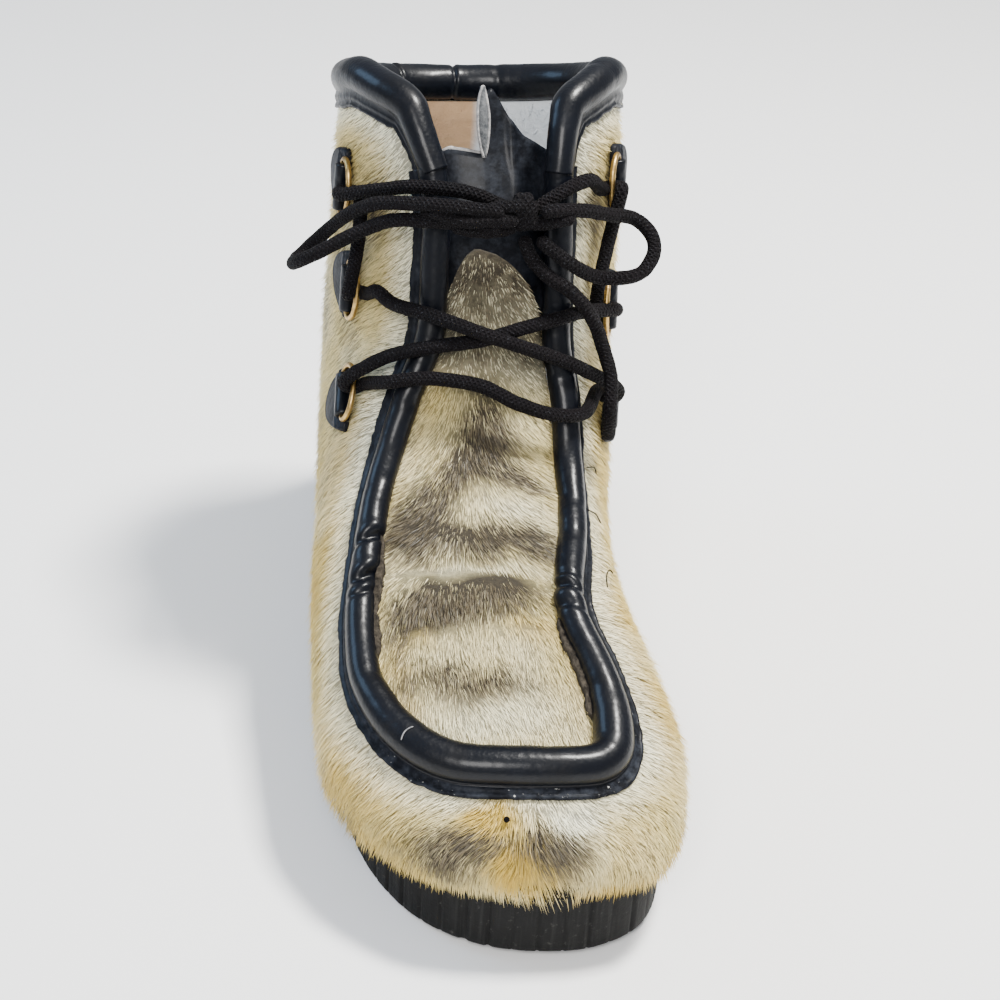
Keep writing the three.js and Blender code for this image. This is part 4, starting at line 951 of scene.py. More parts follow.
def rollPiece(name, path, relief, arc, dustAt):
    on = skin(path["station"], path["angle"])
    normal = skinNormal(path["station"], path["angle"])
    tangent = unit(np.gradient(on, axis=0))
    side = unit(np.cross(normal, tangent))
    radius, seat, low = path["radius"], path["seat"], path["flangeLow"]
    high = low + leather["flangeThickness"]
    first = np.arcsin(np.clip((high - seat) / radius, -0.9, 0.9))
    last = 2 * math.pi + np.arcsin(np.clip((low - seat) / radius, -0.95, 0.85))
    share = np.linspace(0, 1, arc)
    turn = first[:, None] + (last - first)[:, None] * share
    size = radius[:, None] + relief(path, turn) * np.sin(np.pi * share) ** 0.35
    centre = on + normal * seat[:, None]
    rolled = (centre[:, None] + side[:, None] * (size * np.cos(turn))[..., None]
              + normal[:, None] * (size * np.sin(turn))[..., None])
    base = np.sqrt(np.maximum(radius ** 2 - seat ** 2, 1))
    ragged = 0.35 * lumps(on, 1.3, 5) + 0.3 * lumps(on, 5, 3)
    strips = []
    outline = ((0.3, 0), (0.65, 0), (1.0, 0), (1.06, 0.5), (1.0, 1), (0.82, 1), (0.62, 1), (0.42, 1), (0.2, 1))
    for part, upper in outline:
        reach = base + path["flange"] * part + ragged * (part > 0.6)
        station, angle = slide(path["station"], path["angle"], side * reach[:, None])
        worn = (0.16 * lumps(skin(station, angle), 1.8, 6) + 0.5 * (1 - part) ** 2) * (upper > 0)
        sewn = -0.45 * bell(part, 0.62, 0.1) * (upper > 0)
        strips.append(lifted(station, angle, low + (high - low) * upper + worn + sewn))
    rows = np.concatenate([rolled, np.stack(strips, 1)], 1)
    onFlange = np.arange(rows.shape[1]) >= arc
    return closedPiece(name, rows, blackLeather, {"dusty": onFlange * dustAt(path)[:, None]})


def pipingDust(path):
    return 0.35 + 0.65 * (1 - soft(0.26, 0.40, path["station"]))


pipingPiece = rollPiece("leatherPiping", pipe, pipingRelief, 26, pipingDust)
dress(pipingPiece, "leather_black", "piping")
collarPiece = rollPiece("leatherCollar", collarRoll, collarRelief, 30, lambda path: 0.15 + 0 * path["run"])
dress(collarPiece, "leather_black", "collar")


# The frayed suede of the seam inside the piping, where the apron has pulled away from it
seamStrips = {"seamLateral": {"side": -1, "from": 0.365, "to": 0.475, "reach": 1.9},
              "seamMedial": {"side": 1, "from": 0.295, "to": 0.405, "reach": 2.0}}


def makeSeamStrip(name, strip):
    within = (pipe["station"] > strip["from"]) & (pipe["station"] < strip["to"])
    ours = np.where((pipe["side"] == strip["side"]) & within)[0]
    station, angle = pipe["station"][ours], pipe["angle"][ours]
    on, normal = skin(station, angle), skinNormal(station, angle)
    across = -unit(np.cross(normal, unit(np.gradient(on, axis=0))))
    fade = soft(0, 12, np.arange(len(ours))) * soft(len(ours), len(ours) - 12, np.arange(len(ours)))
    ragged = 0.6 * lumps(on, 1.6, 81) + 0.5 * lumps(on, 6, 82)
    columns = []
    for part, high in ((0, -1.4), (0.5, -1.4), (1, -1.2), (1.06, 0.2), (0.9, 1.5), (0.6, 1.2), (0.3, 1.9), (0, 1.4)):
        wide = pipe["radius"][ours] * 0.80 + (strip["reach"] * part + ragged * (part > 0.5)) * fade
        there = slide(station, angle, across * wide[:, None])
        columns.append(lifted(*there, high + (high > 0) * 0.35 * lumps(skin(*there), 1.1, 83)))
    dress(closedPiece(name, np.stack(columns, 1), greySuede), None)


for name, strip in seamStrips.items():
    makeSeamStrip(name, strip)
print("rolls done")


# The cup sole: footbed, inner wall, rim, ribbed side, rounded edge and grooved tread as one closed form
def makeSole():
    ribs = int(round(soleGirth / sole["ribPitch"]))
    count = ribs * sole["ribSteps"]
    at = np.arange(count) / count * ribs
    luck = np.random.default_rng(91).uniform(-1, 1, (3, ribs + 1))
    whole = np.minimum(at.astype(int), ribs - 1)
    phase = at % 1 + 0.16 * luck[0][whole] * np.sin(math.pi * (at % 1))
    groove = np.clip(1 - np.abs(phase - 0.93) / (0.13 + 0.05 * luck[1][whole]), 0, 1)
    groove = groove * groove * (3 - 2 * groove) * sole["ribDepth"] * (0.85 + 0.45 * luck[2][whole])
    groove = groove + 0.20 * np.clip(lumps(np.stack([at * 5.3, at * 0, at * 0], -1), 1, 92), -0.4, 1)
    outer = planRing(count, 0)
    spineY = np.linspace(toeLine, sole["heel"], 200)
    order = np.argsort(outer[:, 1])
    left, right = outer[outer[:, 0] < 2], outer[outer[:, 0] >= 2]
    left, right = left[np.argsort(left[:, 1])], right[np.argsort(right[:, 1])]
    spineX = (np.interp(spineY, left[:, 1], left[:, 0]) + np.interp(spineY, right[:, 1], right[:, 0])) / 2
    blend = soft(toeLine, toeLine + 26, spineY) * soft(sole["heel"], sole["heel"] - 14, spineY)
    spineX = spineX * blend + (1 - blend) * np.where(spineY < 0, outer[order[0], 0], outer[order[-1], 0])

    def ringAt(inset, height, inwards=0.0):
        plan = planRing(count, inset)
        plan[:, 0] += (np.interp(plan[:, 1], spineY, spineX) - plan[:, 0]) * inwards
        return np.concatenate([plan, height(plan[:, 1], plan[:, 0])[:, None]], 1)

    def tread(y, x):
        at = (y + 0.12 * x - toeLine - sole["treadBorder"]) % sole["treadPitch"]
        cut = soft(0, 0.5, at) * soft(sole["treadGroove"], sole["treadGroove"] - 0.5, at)
        onArch = (y > archEnd - 14) & (y < heelBreast + 10)
        first, last = toeLine + sole["treadBorder"], sole["heel"] - sole["treadBorder"]
        inField = soft(first, first + 1, y) * soft(last, last - 1, y)
        return soleBottom(y) + sole["treadDepth"] * cut * inField * ~onArch

    wall = sole["rimWall"]
    rows = [ringAt(wall + 0.2, lambda y, x: footbed(y), part) for part in (0.98, 0.6, 0.25, 0)]
    rows.append(ringAt(wall, lambda y, x: footbed(y) + 0.4))
    rows.append(ringAt(wall, lambda y, x: rimTop(y) - 1.0))
    rows += [ringAt(wall - 0.3, lambda y, x: rimTop(y) - 0.2), ringAt(wall - 1, lambda y, x: rimTop(y)),
             ringAt(1.4, lambda y, x: rimTop(y)), ringAt(0.9, lambda y, x: rimTop(y) - 0.35),
             ringAt(0.7, lambda y, x: rimTop(y) - 1.2), ringAt(0.7, lambda y, x: rimTop(y) - 3.0),
             ringAt(0.55, lambda y, x: rimTop(y) - 3.4), ringAt(groove * 0.6, lambda y, x: rimTop(y) - 3.7)]
    for share in np.linspace(0, 1, 9):
        rows.append(ringAt(groove, lambda y, x, s=share: (rimTop(y) - 4.2) * (1 - s)
                           + (soleBottom(y) + sole["edge"] + 0.6) * s))
    for turn in np.linspace(0.15, 1, 6) * math.pi / 2:
        inset = groove * (1 - math.sin(turn) * 0.6) + sole["edge"] * (1 - math.cos(turn))
        rows.append(ringAt(inset, lambda y, x, t=turn: soleBottom(y) + sole["edge"] * (1 - math.sin(t))))
    rows.append(ringAt(sole["treadBorder"] - 0.3, lambda y, x: soleBottom(y)))
    for part in (0, 0.12, 0.3, 0.5, 0.7, 0.9, 0.985):
        rows.append(ringAt(sole["treadBorder"], tread, part))
    dress(closedPiece("cupSole", np.array(rows), soleRubber), "rubber_black", "outsole")


insole = {"inset": 4.0, "lift": 0.3, "thickness": 3.2, "points": 240}


def makeInsole():
    rows = []
    for part, rise in ((0.95, 0), (0.5, 0), (0, 0), (0, 1), (0.04, 1.05), (0.5, 1.0), (0.95, 1)):
        plan = planRing(insole["points"], sole["rimWall"] + insole["inset"])
        plan[:, 0] *= 1 - part
        top = footbed(plan[:, 1]) + insole["lift"] + insole["thickness"] * rise
        rows.append(np.concatenate([plan, top[:, None]], 1))
    dress(closedPiece("fleeceInsole", np.array(rows), whiteFleece), "fleece", "insole")


makeSole()
makeInsole()
print("sole done")


# Distance from points to a line on the boot, and the nearest place on it
def nearTo(points, line):
    flat = points.reshape(-1, 3)
    gap = np.empty(len(flat))
    which = np.empty(len(flat), int)
    for start in range(0, len(flat), 3000):
        part = np.linalg.norm(flat[start:start + 3000, None] - line[None], axis=-1)
        which[start:start + 3000] = part.argmin(1)
        gap[start:start + 3000] = part.min(1)
    return gap.reshape(points.shape[:-1]), which.reshape(points.shape[:-1])


pelt = {"rows": 130, "columns": 130, "sink": 0.5, "liningAt": 5.3, "liningThickness": 1.2, "underRoll": 6.2,
        "liningEdge": 0.024, "liningFrom": 18, "pileFrom": 52, "middle": 7.3}
furColours = ("dark", "straw", "pale", "tone")


# Where the fur's skin lies, lowered under the rolls, flanges and tabs
def peltLift(points, deepest):
    lift = np.full(points.shape[:-1], -pelt["sink"])
    for line, path, every in ((pipeLine, pipe, 3), (collarLine, collarRoll, 2)):
        gap, which = nearTo(points, line[::every])
        radius, seat = path["radius"][::every][which], path["seat"][::every][which]
        reach = np.sqrt(np.maximum(radius ** 2 - seat ** 2, 1)) + path["flange"][::every][which]
        lift = np.where(gap < reach + 1, np.minimum(lift, -0.95), lift)
        under = seat - np.sqrt(np.maximum((radius + 0.35) ** 2 - gap ** 2, 0))
        lift = np.where(gap < radius + 0.3, np.minimum(lift, under), lift)
    return np.maximum(lift, deepest)


def seatInCup(points, gap=0.5):
    flat = points.reshape(-1, 3).copy()
    low = flat[:, 2] < rimTop(flat[:, 1]) + 0.4
    part = flat[low]
    depth, edge, inward = insideSole(part[:, :2])
    want = sole["rimWall"] + gap
    tight = depth < want
    part[tight, :2] = (edge + inward * want)[tight]
    part[:, 2] = np.maximum(part[:, 2], footbed(part[:, 1]) + 0.4)
    flat[low] = part
    return flat.reshape(points.shape)


def seamAngles(station):
    sewn = station >= boot["firstSeam"]
    medial = np.where(sewn, medialX(station), pelt["middle"])
    lateral = np.where(sewn, lateralX(station), pelt["middle"])
    return angleAt(station, medial), angleAt(station, lateral) - 2 * math.pi


# Rows from the toe up to just under the collar's roll, columns from the medial seam round the back to the lateral one
def peltGrid(rows, columns):
    share = np.linspace(0, 1, rows)[:, None]
    around = np.linspace(0, 1, columns)
    start, end = seamAngles(np.full(columns, boot["collarTop"]))
    angle = start + (end - start) * around
    speed = np.linalg.norm(skin(0.987, angle) - skin(0.983, angle), axis=-1) / 0.004
    station = (boot["collarTop"] - pelt["underRoll"] / speed) * (0.25 * share ** 2 + 0.75 * share)
    start, end = seamAngles(station)
    return station, start + (end - start) * around, around


# The worn, tan part of the lining at the back
def tanPatch(on):
    x = on[..., 0] + 2 * lumps(on, 9, 27)
    return soft(-38, -33, x) * soft(4, 0, x) * (on[..., 1] > 60)


def makePelt():
    station, angle, around = peltGrid(pelt["rows"], pelt["columns"])
    on = skin(station, angle)
    deepest = -pelt["liningAt"] * soft(-0.02, 0.10, station)
    outer = seatInCup(lifted(station, angle, peltLift(on, deepest + 0.3)))
    inner = seatInCup(lifted(station, angle, deepest), 0.9)
    marks = furMarks(station, angle, on)
    made = wallPiece("furUpper", outer, inner, furPelt, {mark: marks[mark] for mark in furColours}, "point")
    # the cut edges at the throat are faced with leather
    made.data.materials.append(blackLeather)
    half, wide = pelt["columns"], 2 * pelt["columns"]
    edges = ({0, 1, wide - 1, wide - 2}, {half - 2, half - 1, half, half + 1})
    for polygon in made.data.polygons:
        columns = {corner % wide for corner in polygon.vertices}
        row = max(polygon.vertices) // wide - 1
        atThroat = 0 < row < pelt["rows"] and station[row, 0] >= apron["throatFoot"]
        if atThroat and any(columns <= edge for edge in edges):
            polygon.material_index = 1
    dress(made, "fur_cream", "upper")
    # the lining stops short of the throat's edges
    edge = pelt["liningEdge"]
    angle = angle[:, :1] + (angle[:, -1:] - angle[:, :1]) * (edge + (1 - 2 * edge) * around)
    on = skin(station, angle)
    first = pelt["liningFrom"]
    outer = seatInCup(lifted(station, angle, deepest - 0.05), 1.0)[first:]
    inner = seatInCup(lifted(station, angle, deepest - pelt["liningThickness"]), 2.2)[first:]
    dress(wallPiece("fleeceLining", outer, inner, whiteFleece, {"tan": tanPatch(on[first:])}), "fleece")
    # the pile on it, from the upper part that can be looked into
    first = pelt["pileFrom"]
    on = seatInCup(lifted(station, angle, deepest - pelt["liningThickness"] + 0.2), 2.2)[first:]
    along, across, normal = (part[first:] for part in skinDirections(station, angle))
    lay = -along * 0.5 + across * lumps(on, 5, 61)[..., None] * 1.2 + along * lumps(on, 5, 62)[..., None]
    tan = tanPatch(on)
    inward = soft(0, 0.02, np.minimum(around, 1 - around))[None, :]
    marks = {"lay": lay, "thick": (1 - 0.85 * tan) * inward, "long": 1 - 0.6 * tan, "tan": tan}
    growCoat("fleecePile", on, gridFaces(*on.shape[:2], False), -normal, marks, whiteFleece, "fleece", pile)


# How far along the boot's front line each station lies
frontStations = np.linspace(0, 1, 400)
frontRun = runOf(skin(frontStations, np.full(len(frontStations), math.pi / 2)))

# Marks on the front of the boot: x, station, half width across, half width along, dark, straw, pale
furSpots = [
    (-3, 0.590, 7, 12, 0.6, 0, 0), (2, 0.560, 9, 7, 0.75, 0, 0), (-7, 0.535, 9, 7, 0.75, 0, 0),
    (-15, 0.505, 10, 8, 0.7, 0, 0), (-22, 0.482, 9, 6, 0.7, 0, 0), (9, 0.522, 10, 5, 0.8, 0, 0),
    (8, 0.492, 13, 4, -0.5, 0.3, 0.4), (-26, 0.466, 11, 8, 0.9, 0, 0), (12, 0.462, 14, 8, 0.95, 0, 0),
    (-8, 0.458, 12, 6, 0.6, 0, 0), (-4, 0.436, 22, 2.4, -0.4, 0.1, 0.5), (-12, 0.406, 18, 9.5, 0.75, 0, 0),
    (5, 0.414, 12, 7, 0.65, 0, 0), (-24, 0.400, 11, 10, 0.6, 0, 0), (9, 0.388, 9, 4.5, -0.5, 0.9, 0.1),
    (-22, 0.384, 6, 3, -0.3, 0.7, 0), (-10, 0.368, 22, 4, -0.15, 0.25, 0.15), (-18, 0.346, 14, 7, 0.62, 0.2, 0),
    (2, 0.338, 14, 5.5, 0.5, 0.2, 0), (-8, 0.326, 12, 5, 0.3, 0.1, 0),
    (0, 0.300, 25, 9, -0.3, 0.05, 0.45), (-29, 0.308, 4, 6, 0.1, 1.1, 0), (24, 0.345, 5, 14, 0.1, 0.6, 0),
    (-30, 0.360, 4, 14, 0.3, 0.7, 0),
    (-5, 0.175, 8, 5, -0.2, 1.3, -0.9), (2, 0.060, 8, 8, -0.2, 1.3, -0.9), (-12, 0.125, 13, 6, 1.0, 0, 0),
    (12, 0.105, 9, 9, 1.0, 0.1, 0), (-30, 0.150, 9, 7, 0.4, 0.1, 0), (17, 0.165, 6, 4, -0.4, 0, 0.9),
    (38, 0.120, 12, 12, 0.0, 0.5, 0.2), (-36, 0.200, 8, 12, 0.25, 0.3, 0),
]


def furMarks(station, angle, on, onApron=False):
    warp = np.stack([lumps(on, 9, 11), lumps(on, 9, 12), lumps(on, 4, 13)], -1)
    x = on[..., 0] + 2.2 * warp[..., 0]
    run = np.interp(station, frontStations, frontRun) + 2.4 * warp[..., 1] + 1.2 * warp[..., 2]
    inFront = soft(-0.1, 0.25, np.sin(angle))
    dark, straw, pale = (np.zeros(station.shape) for _ in range(3))
    for spotX, spotStation, across, along, darker, yellower, paler in furSpots:
        spot = bell(x, spotX, across) * bell(run, np.interp(spotStation, frontStations, frontRun), along) * inFront
        dark, straw, pale = dark + darker * spot, straw + yellower * spot, pale + paler * spot
    broad, middling = lumps(on, 26, 21), lumps(on, 11, 22)
    gap = nearTo(on, np.concatenate([pipeLine[::6], collarLine[::6]]))[0]
    if not onApron:  # the sides, the toe and the shaft
        above = on[..., 2] - rimTop(on[..., 1])
        shank = soft(0.55, 0.72, station)
        side = 1 - inFront * soft(0.3, 0.2, station)
        dark = dark + side * (0.62 * soft(0.12, 0.75, broad) + 0.30 * soft(0.2, 0.8, middling)
                              + 0.25 * soft(16, 4, above) * soft(-0.2, 0.6, lumps(on, 14, 25)))
        dark = dark - 0.7 * soft(20, 7, gap)
        straw = straw + side * (0.45 + 0.45 * lumps(on, 30, 23)) * (1 - 0.35 * shank)
        pale = pale + 0.75 * soft(19, 8, gap) + 0.25 * soft(0, 0.7, lumps(on, 18, 24)) + 0.12 * shank
        straw = straw + 0.6 * soft(0.1, 0.5, lumps(on, 15, 26)) * soft(14, 3, above) * (on[..., 0] > 10)
    else:
        pale = pale + 0.2 + 0.2 * middling
        straw = straw + 0.25 * soft(14, 5, gap) + 0.15 * broad
        grey = soft(0.60, 0.66, station)
        dark = dark + 0.46 * grey + 0.2 * soft(0.70, 0.79, station)
        pale = pale + 0.4 * grey
    return {"dark": np.clip(dark, 0, 1.2), "straw": np.clip(straw, 0, 1), "pale": np.clip(pale, 0, 1),
            "tone": 0.5 + 0 * dark, "gap": gap}


def skinDirections(station, angle):
    along = unit(skin(station + 0.004, angle) - skin(np.maximum(station - 0.004, 0), angle))
    around = unit(skin(station, angle + 0.02) - skin(station, angle - 0.02))
    return along, around, skinNormal(station, angle)


def turnedBy(lay, normal, amount):
    lay = unit(lay - normal * np.sum(lay * normal, -1, keepdims=True))
    return lay * np.cos(amount)[..., None] + np.cross(normal, lay) * np.sin(amount)[..., None]


# One tree grows every coat: blades on the points of a skin, laid along its own directions and drawn into tufts
def hairTree():
    tree = bpy.data.node_groups.new("hairCoat", "GeometryNodeTree")
    kit = Kit(tree)
    keys = {}
    for label, kind, value in (("Skin", "Geometry", None), ("Hairs", "Float", 2000000.0), ("Length", "Float", 0.009),
                               ("Width", "Float", 0.0004), ("Rise", "Float", 0.2), ("Stray", "Float", 0.2),
                               ("Tuft size", "Float", 0.004), ("Tuft pull", "Float", 0.3), ("Curl", "Float", -0.12),
                               ("Seed", "Int", 1), ("Material", "Material", None)):
        made = tree.interface.new_socket(label, in_out="INPUT", socket_type="NodeSocket" + kind)
        if value is not None:
            made.default_value = value
        keys[label] = made.identifier
    tree.interface.new_socket("Coat", in_out="OUTPUT", socket_type="NodeSocketGeometry")
    given = kit.node("NodeGroupInput", output="Skin")

    def own(name, kind="FLOAT"):
        return kit.node("GeometryNodeInputNamedAttribute", {"data_type": kind}, {"Name": name}, "Attribute")

    def chance(kind, low, high, number):
        places = {"FLOAT": (2, 3, 1), "FLOAT_VECTOR": (0, 1, 0), "INT": (4, 5, 2)}[kind]
        sockets = {places[0]: low, places[1]: high, "Seed": given.out("Seed") * 7 + number}
        return kit.node("FunctionNodeRandomValue", {"data_type": kind}, sockets, places[2])

    def scatter(number):
        return chance("FLOAT_VECTOR", (-1.0, -1.0, -1.0), (1.0, 1.0, 1.0), number)

    def spotPart(axis):
        return kit.node("ShaderNodeSeparateXYZ", None, {0: kit.node("GeometryNodeInputPosition")}, axis)

    blades = []
    for bend in (1.0, 0.35, -0.5):
        grid = kit.node("GeometryNodeMeshGrid", None,
                        {"Size X": 1.0, "Size Y": 1.0, "Vertices X": 2, "Vertices Y": 3})
        spot = spotPart("X")
        rise = spot.out("Y") + 0.5
        width = spot * (1 - rise ** 1.8) * (0.6 + rise * 0.9)
        curled = rise * rise * given.out("Curl") * bend
        bent = kit.node("ShaderNodeCombineXYZ", None, {"X": width, "Y": rise, "Z": curled})
        shaped = kit.node("GeometryNodeSetPosition", None, {"Geometry": grid, "Position": bent})
        marked = kit.node("GeometryNodeStoreNamedAttribute", {"data_type": "FLOAT", "domain": "POINT"},
                          {"Geometry": shaped, "Name": "rise", "Value": spotPart("Y")})
        merged = kit.node("GeometryNodeMergeByDistance", None, {"Geometry": marked, "Distance": 0.001})
        smoothed = kit.node("GeometryNodeSetShadeSmooth", None, {"Geometry": merged})
        blades.append(kit.node("GeometryNodeGeometryToInstance", None, {"Geometry": smoothed}))
    choice = kit.node("GeometryNodeJoinGeometry")
    for blade in blades:
        tree.links.new(blade.socket, choice.node.inputs[0])

    sockets = {"Mesh": given, "Density": given.out("Hairs") * own("thick"), "Seed": given.out("Seed")}
    spread = kit.node("GeometryNodeDistributePointsOnFaces", {"distribute_method": "RANDOM"}, sockets, "Points")
    normal = spread.out("Normal")
    spot = kit.node("GeometryNodeInputPosition")
    cell = kit.node("ShaderNodeTexVoronoi", {"feature": "F1"},
                    {"Vector": spot, "Scale": kit.maths("DIVIDE", 1.0, given.out("Tuft size"))}, "Position")
    towards = kit.scaled(kit.vector("SUBTRACT", cell, spot), given.out("Tuft pull") / given.out("Length"))
    stray = kit.scaled(scatter(3), given.out("Stray"))
    upward = kit.scaled(normal, given.out("Rise") * chance("FLOAT", 0.4, 1.7, 4))
    raised = kit.vector("ADD", own("lay", "FLOAT_VECTOR"), upward)
    heading = kit.vector("ADD", raised, kit.vector("ADD", stray, towards))
    faced = kit.vector("ADD", normal, kit.scaled(scatter(5), 0.55))
    turned = kit.node("FunctionNodeAxesToRotation", {"primary_axis": "Y", "secondary_axis": "Z"},
                      {"Primary Axis": heading, "Secondary Axis": faced})
    length = given.out("Length") * own("long") * chance("FLOAT", 0.62, 1.15, 6)
    size = kit.node("ShaderNodeCombineXYZ", None,
                    {"X": given.out("Width") * chance("FLOAT", 0.7, 1.3, 7), "Y": length, "Z": length})
    toned = kit.node("GeometryNodeStoreNamedAttribute", {"data_type": "FLOAT", "domain": "POINT"},
                     {"Geometry": spread, "Name": "tone", "Value": chance("FLOAT", 0.0, 1.0, 8)})
    placed = kit.node("GeometryNodeInstanceOnPoints", None,
                      {"Points": toned, "Instance": choice, "Pick Instance": True,
                       "Instance Index": chance("INT", 0, 2, 9), "Rotation": turned, "Scale": size})
    whole = kit.node("GeometryNodeRealizeInstances", None, {"Geometry": placed})
    painted = kit.node("GeometryNodeSetMaterial", None, {"Geometry": whole, "Material": given.out("Material")})
    tree.links.new(painted.socket, tree.nodes.new("NodeGroupOutput").inputs[0])
    return tree, keys


coatTree, coatKeys = hairTree()


def growCoat(name, points, faces, guide, marks, material, slot, settings):
    patch = meshPiece(name + "_skin", points, faces, guide=guide, marks=marks)
    modifier = patch.modifiers.new("coat", "NODES")
    modifier.node_group = coatTree
    for label, value in {**settings, "Material": material}.items():
        modifier[coatKeys[label]] = value
    ready = patch.evaluated_get(bpy.context.evaluated_depsgraph_get())
    mesh = bpy.data.meshes.new_from_object(ready)
    patch.modifiers.remove(modifier)
    for unused in ("lay", "thick", "long", "gap"):
        if unused in mesh.attributes:
            mesh.attributes.remove(mesh.attributes[unused])
    mesh.name = name
    made = bpy.data.objects.new(name, mesh)
    scene.collection.objects.link(made)
    old = patch.data
    bpy.data.objects.remove(patch)
    bpy.data.meshes.remove(old)
    mesh.calc_loop_triangles()
    print(name, len(mesh.loop_triangles), "triangles")
    if not mesh.materials:
        mesh.materials.append(material)
    dress(made, slot)


coat = {"Hairs": 2300000.0, "Length": 0.0068, "Width": 0.00030, "Rise": 0.15, "Stray": 0.17, "Tuft size": 0.0034,
        "Tuft pull": 0.20, "Curl": -0.10}
pile = {"Hairs": 190000.0, "Length": 0.0042, "Width": 0.0006, "Rise": 0.55, "Stray": 0.7, "Tuft size": 0.0030,
        "Tuft pull": 0.8, "Curl": -0.5, "Seed": 71}


# How far places lie under the tabs, where no hair grows
def underTabs(points):
    cover = np.zeros(points.shape[:-1])
    for name in rings:
        at = ringFrame(name)
        away = points - at["middle"]
        along, back = np.sum(away * at["bar"], -1), -np.sum(away * at["throatward"], -1)
        inside = soft(10.5, 8.0, np.abs(along)) * soft(-3.5, -1.5, back) * soft(11.5, 9.0, back)
        cover = np.maximum(cover, inside * soft(16, 10, np.abs(np.sum(away * at["normal"], -1))))
    return cover


# Each coat's rows and columns on the grid, as first and last, and how dense it is
coatGrid = (190, 200)
coatParts = {"toe": (0, 62, 0, 200, 1.9), "vampMedial": (61, 120, 0, 100, 1.7),
             "vampLateral": (61, 120, 99, 200, 1.7), "shaftMedial": (119, 190, 0, 78, 1.0),
             "shaftBack": (119, 190, 77, 123, 0.95), "shaftLateral": (119, 190, 122, 200, 1.15)}


def makeSideCoats():
    station, angle, around = peltGrid(*coatGrid)
    on = lifted(station, angle, np.full(station.shape, -pelt["sink"] - 0.3))
    along, across, normal = skinDirections(station, angle)
    marks = furMarks(station, angle, skin(station, angle))
    side = np.tanh((around - 0.5) * 8)[None, :] * np.ones(station.shape)
    nearPart = soft(0.0, 0.07, np.minimum(around, 1 - around))[None, :]
    onToe = soft(0.26, 0.20, station)
    away = side * (1 - onToe * (1 - nearPart) * 0.75)
    shank = soft(0.60, 0.80, station)
    down = 0.30 + 0.18 * onToe + 0.25 * shank + 0.8 * onToe * (1 - nearPart)
    down = down + 1.2 * soft(0.24, 0.0, np.abs(around - 0.5))[None, :] * shank
    lay = across * away[..., None] - along * down[..., None]
    lay = turnedBy(lay, normal, 0.32 * lumps(on, 24, 31) + 0.22 * lumps(on, 8, 32))
    above = on[..., 2] - rimTop(on[..., 1])
    outward = unit(normal * (1, 1, 0))
    hang = soft(13, 2, above)[..., None]
    lay = unit(lay * (1 - 0.75 * hang) + (np.array([0, 0, -1.0]) + 0.30 * outward) * 0.75 * hang)
    marks["lay"] = lay
    seen = np.clip(0.62 + 0.5 * soft(0.35, -0.4, normal[..., 1]), 0.62, 1.0)
    marks["thick"] = (seen * soft(6.6, 8.6, marks["gap"]) * soft(-1.6, 0.2, above) * (1 - underTabs(on))
                      * soft(-0.25, 0.15, normal[..., 2] + 0.9 * (above > -2)))
    fringe = hang[..., 0]
    marks["long"] = 1.0 - 0.30 * soft(16, 7, marks["gap"]) + 0.08 * lumps(on, 12, 33) - 0.22 * onToe - 0.12 * fringe
    marks["long"] = marks["long"] + 0.55 * fringe * bell(on[..., 0], 6, 12) * (on[..., 1] < -90)
    for number, (name, (low, high, left, right, more)) in enumerate(coatParts.items()):
        part = (slice(low, high), slice(left, right))
        settings = {**coat, "Hairs": coat["Hairs"] * more, "Seed": 11 + number}
        growCoat("fur_" + name, on[part], gridFaces(high - low, right - left, False), normal[part],
                 {mark: values[part] for mark, values in marks.items()}, furHair, "fur_cream", settings)


# The apron: a fur panel inside the piping, with a rounded tip in the throat
apron = {"start": 0.2425, "throatFoot": 0.5, "round": 0.68, "tip": 0.8, "tipShare": 0.3, "rows": 120, "columns": 70,
         "crease": 0.434, "slant": 0.00035}


def apronGrid(rows, columns):
    share = np.linspace(0, 1, rows)
    station = apron["start"] + (apron["tip"] - apron["start"]) * (0.35 * share ** 2 + 0.65 * share)
    margin = 0.3 + 2.2 * soft(apron["throatFoot"], apron["throatFoot"] + 0.1, station)
    margin = margin + 3 * (1 - soft(boot["firstSeam"], boot["firstSeam"] + 0.01, station))
    past = np.maximum(0, station - apron["round"]) / (apron["tip"] - apron["round"])
    width = np.sqrt(np.maximum(0.004, 1 - past ** 2))
    low, high = lateralX(station) + margin, medialX(station) - margin
    middle = low + (high - low) * apron["tipShare"]
    low, high = middle + (low - middle) * width, middle + (high - middle) * width
    x = low[:, None] + (high - low)[:, None] * np.linspace(0, 1, columns)
    station = np.repeat(station[:, None], columns, 1)
    return station, angleAt(station, x)


def apronRelief(on, station):
    slanted = station + apron["slant"] * (on[..., 0] + 4 * lumps(on, 14, 41))
    crease = -1.5 * bell(slanted, apron["crease"], 0.0075)
    ridge = 0.8 * bell(slanted, apron["crease"] + 0.020, 0.012)
    ridge += 0.9 * bell(station, apron["crease"] - 0.024, 0.014)
    return crease + ridge - 0.5 * bell(station, 0.392, 0.006) + 0.45 * lumps(on, 12, 42)


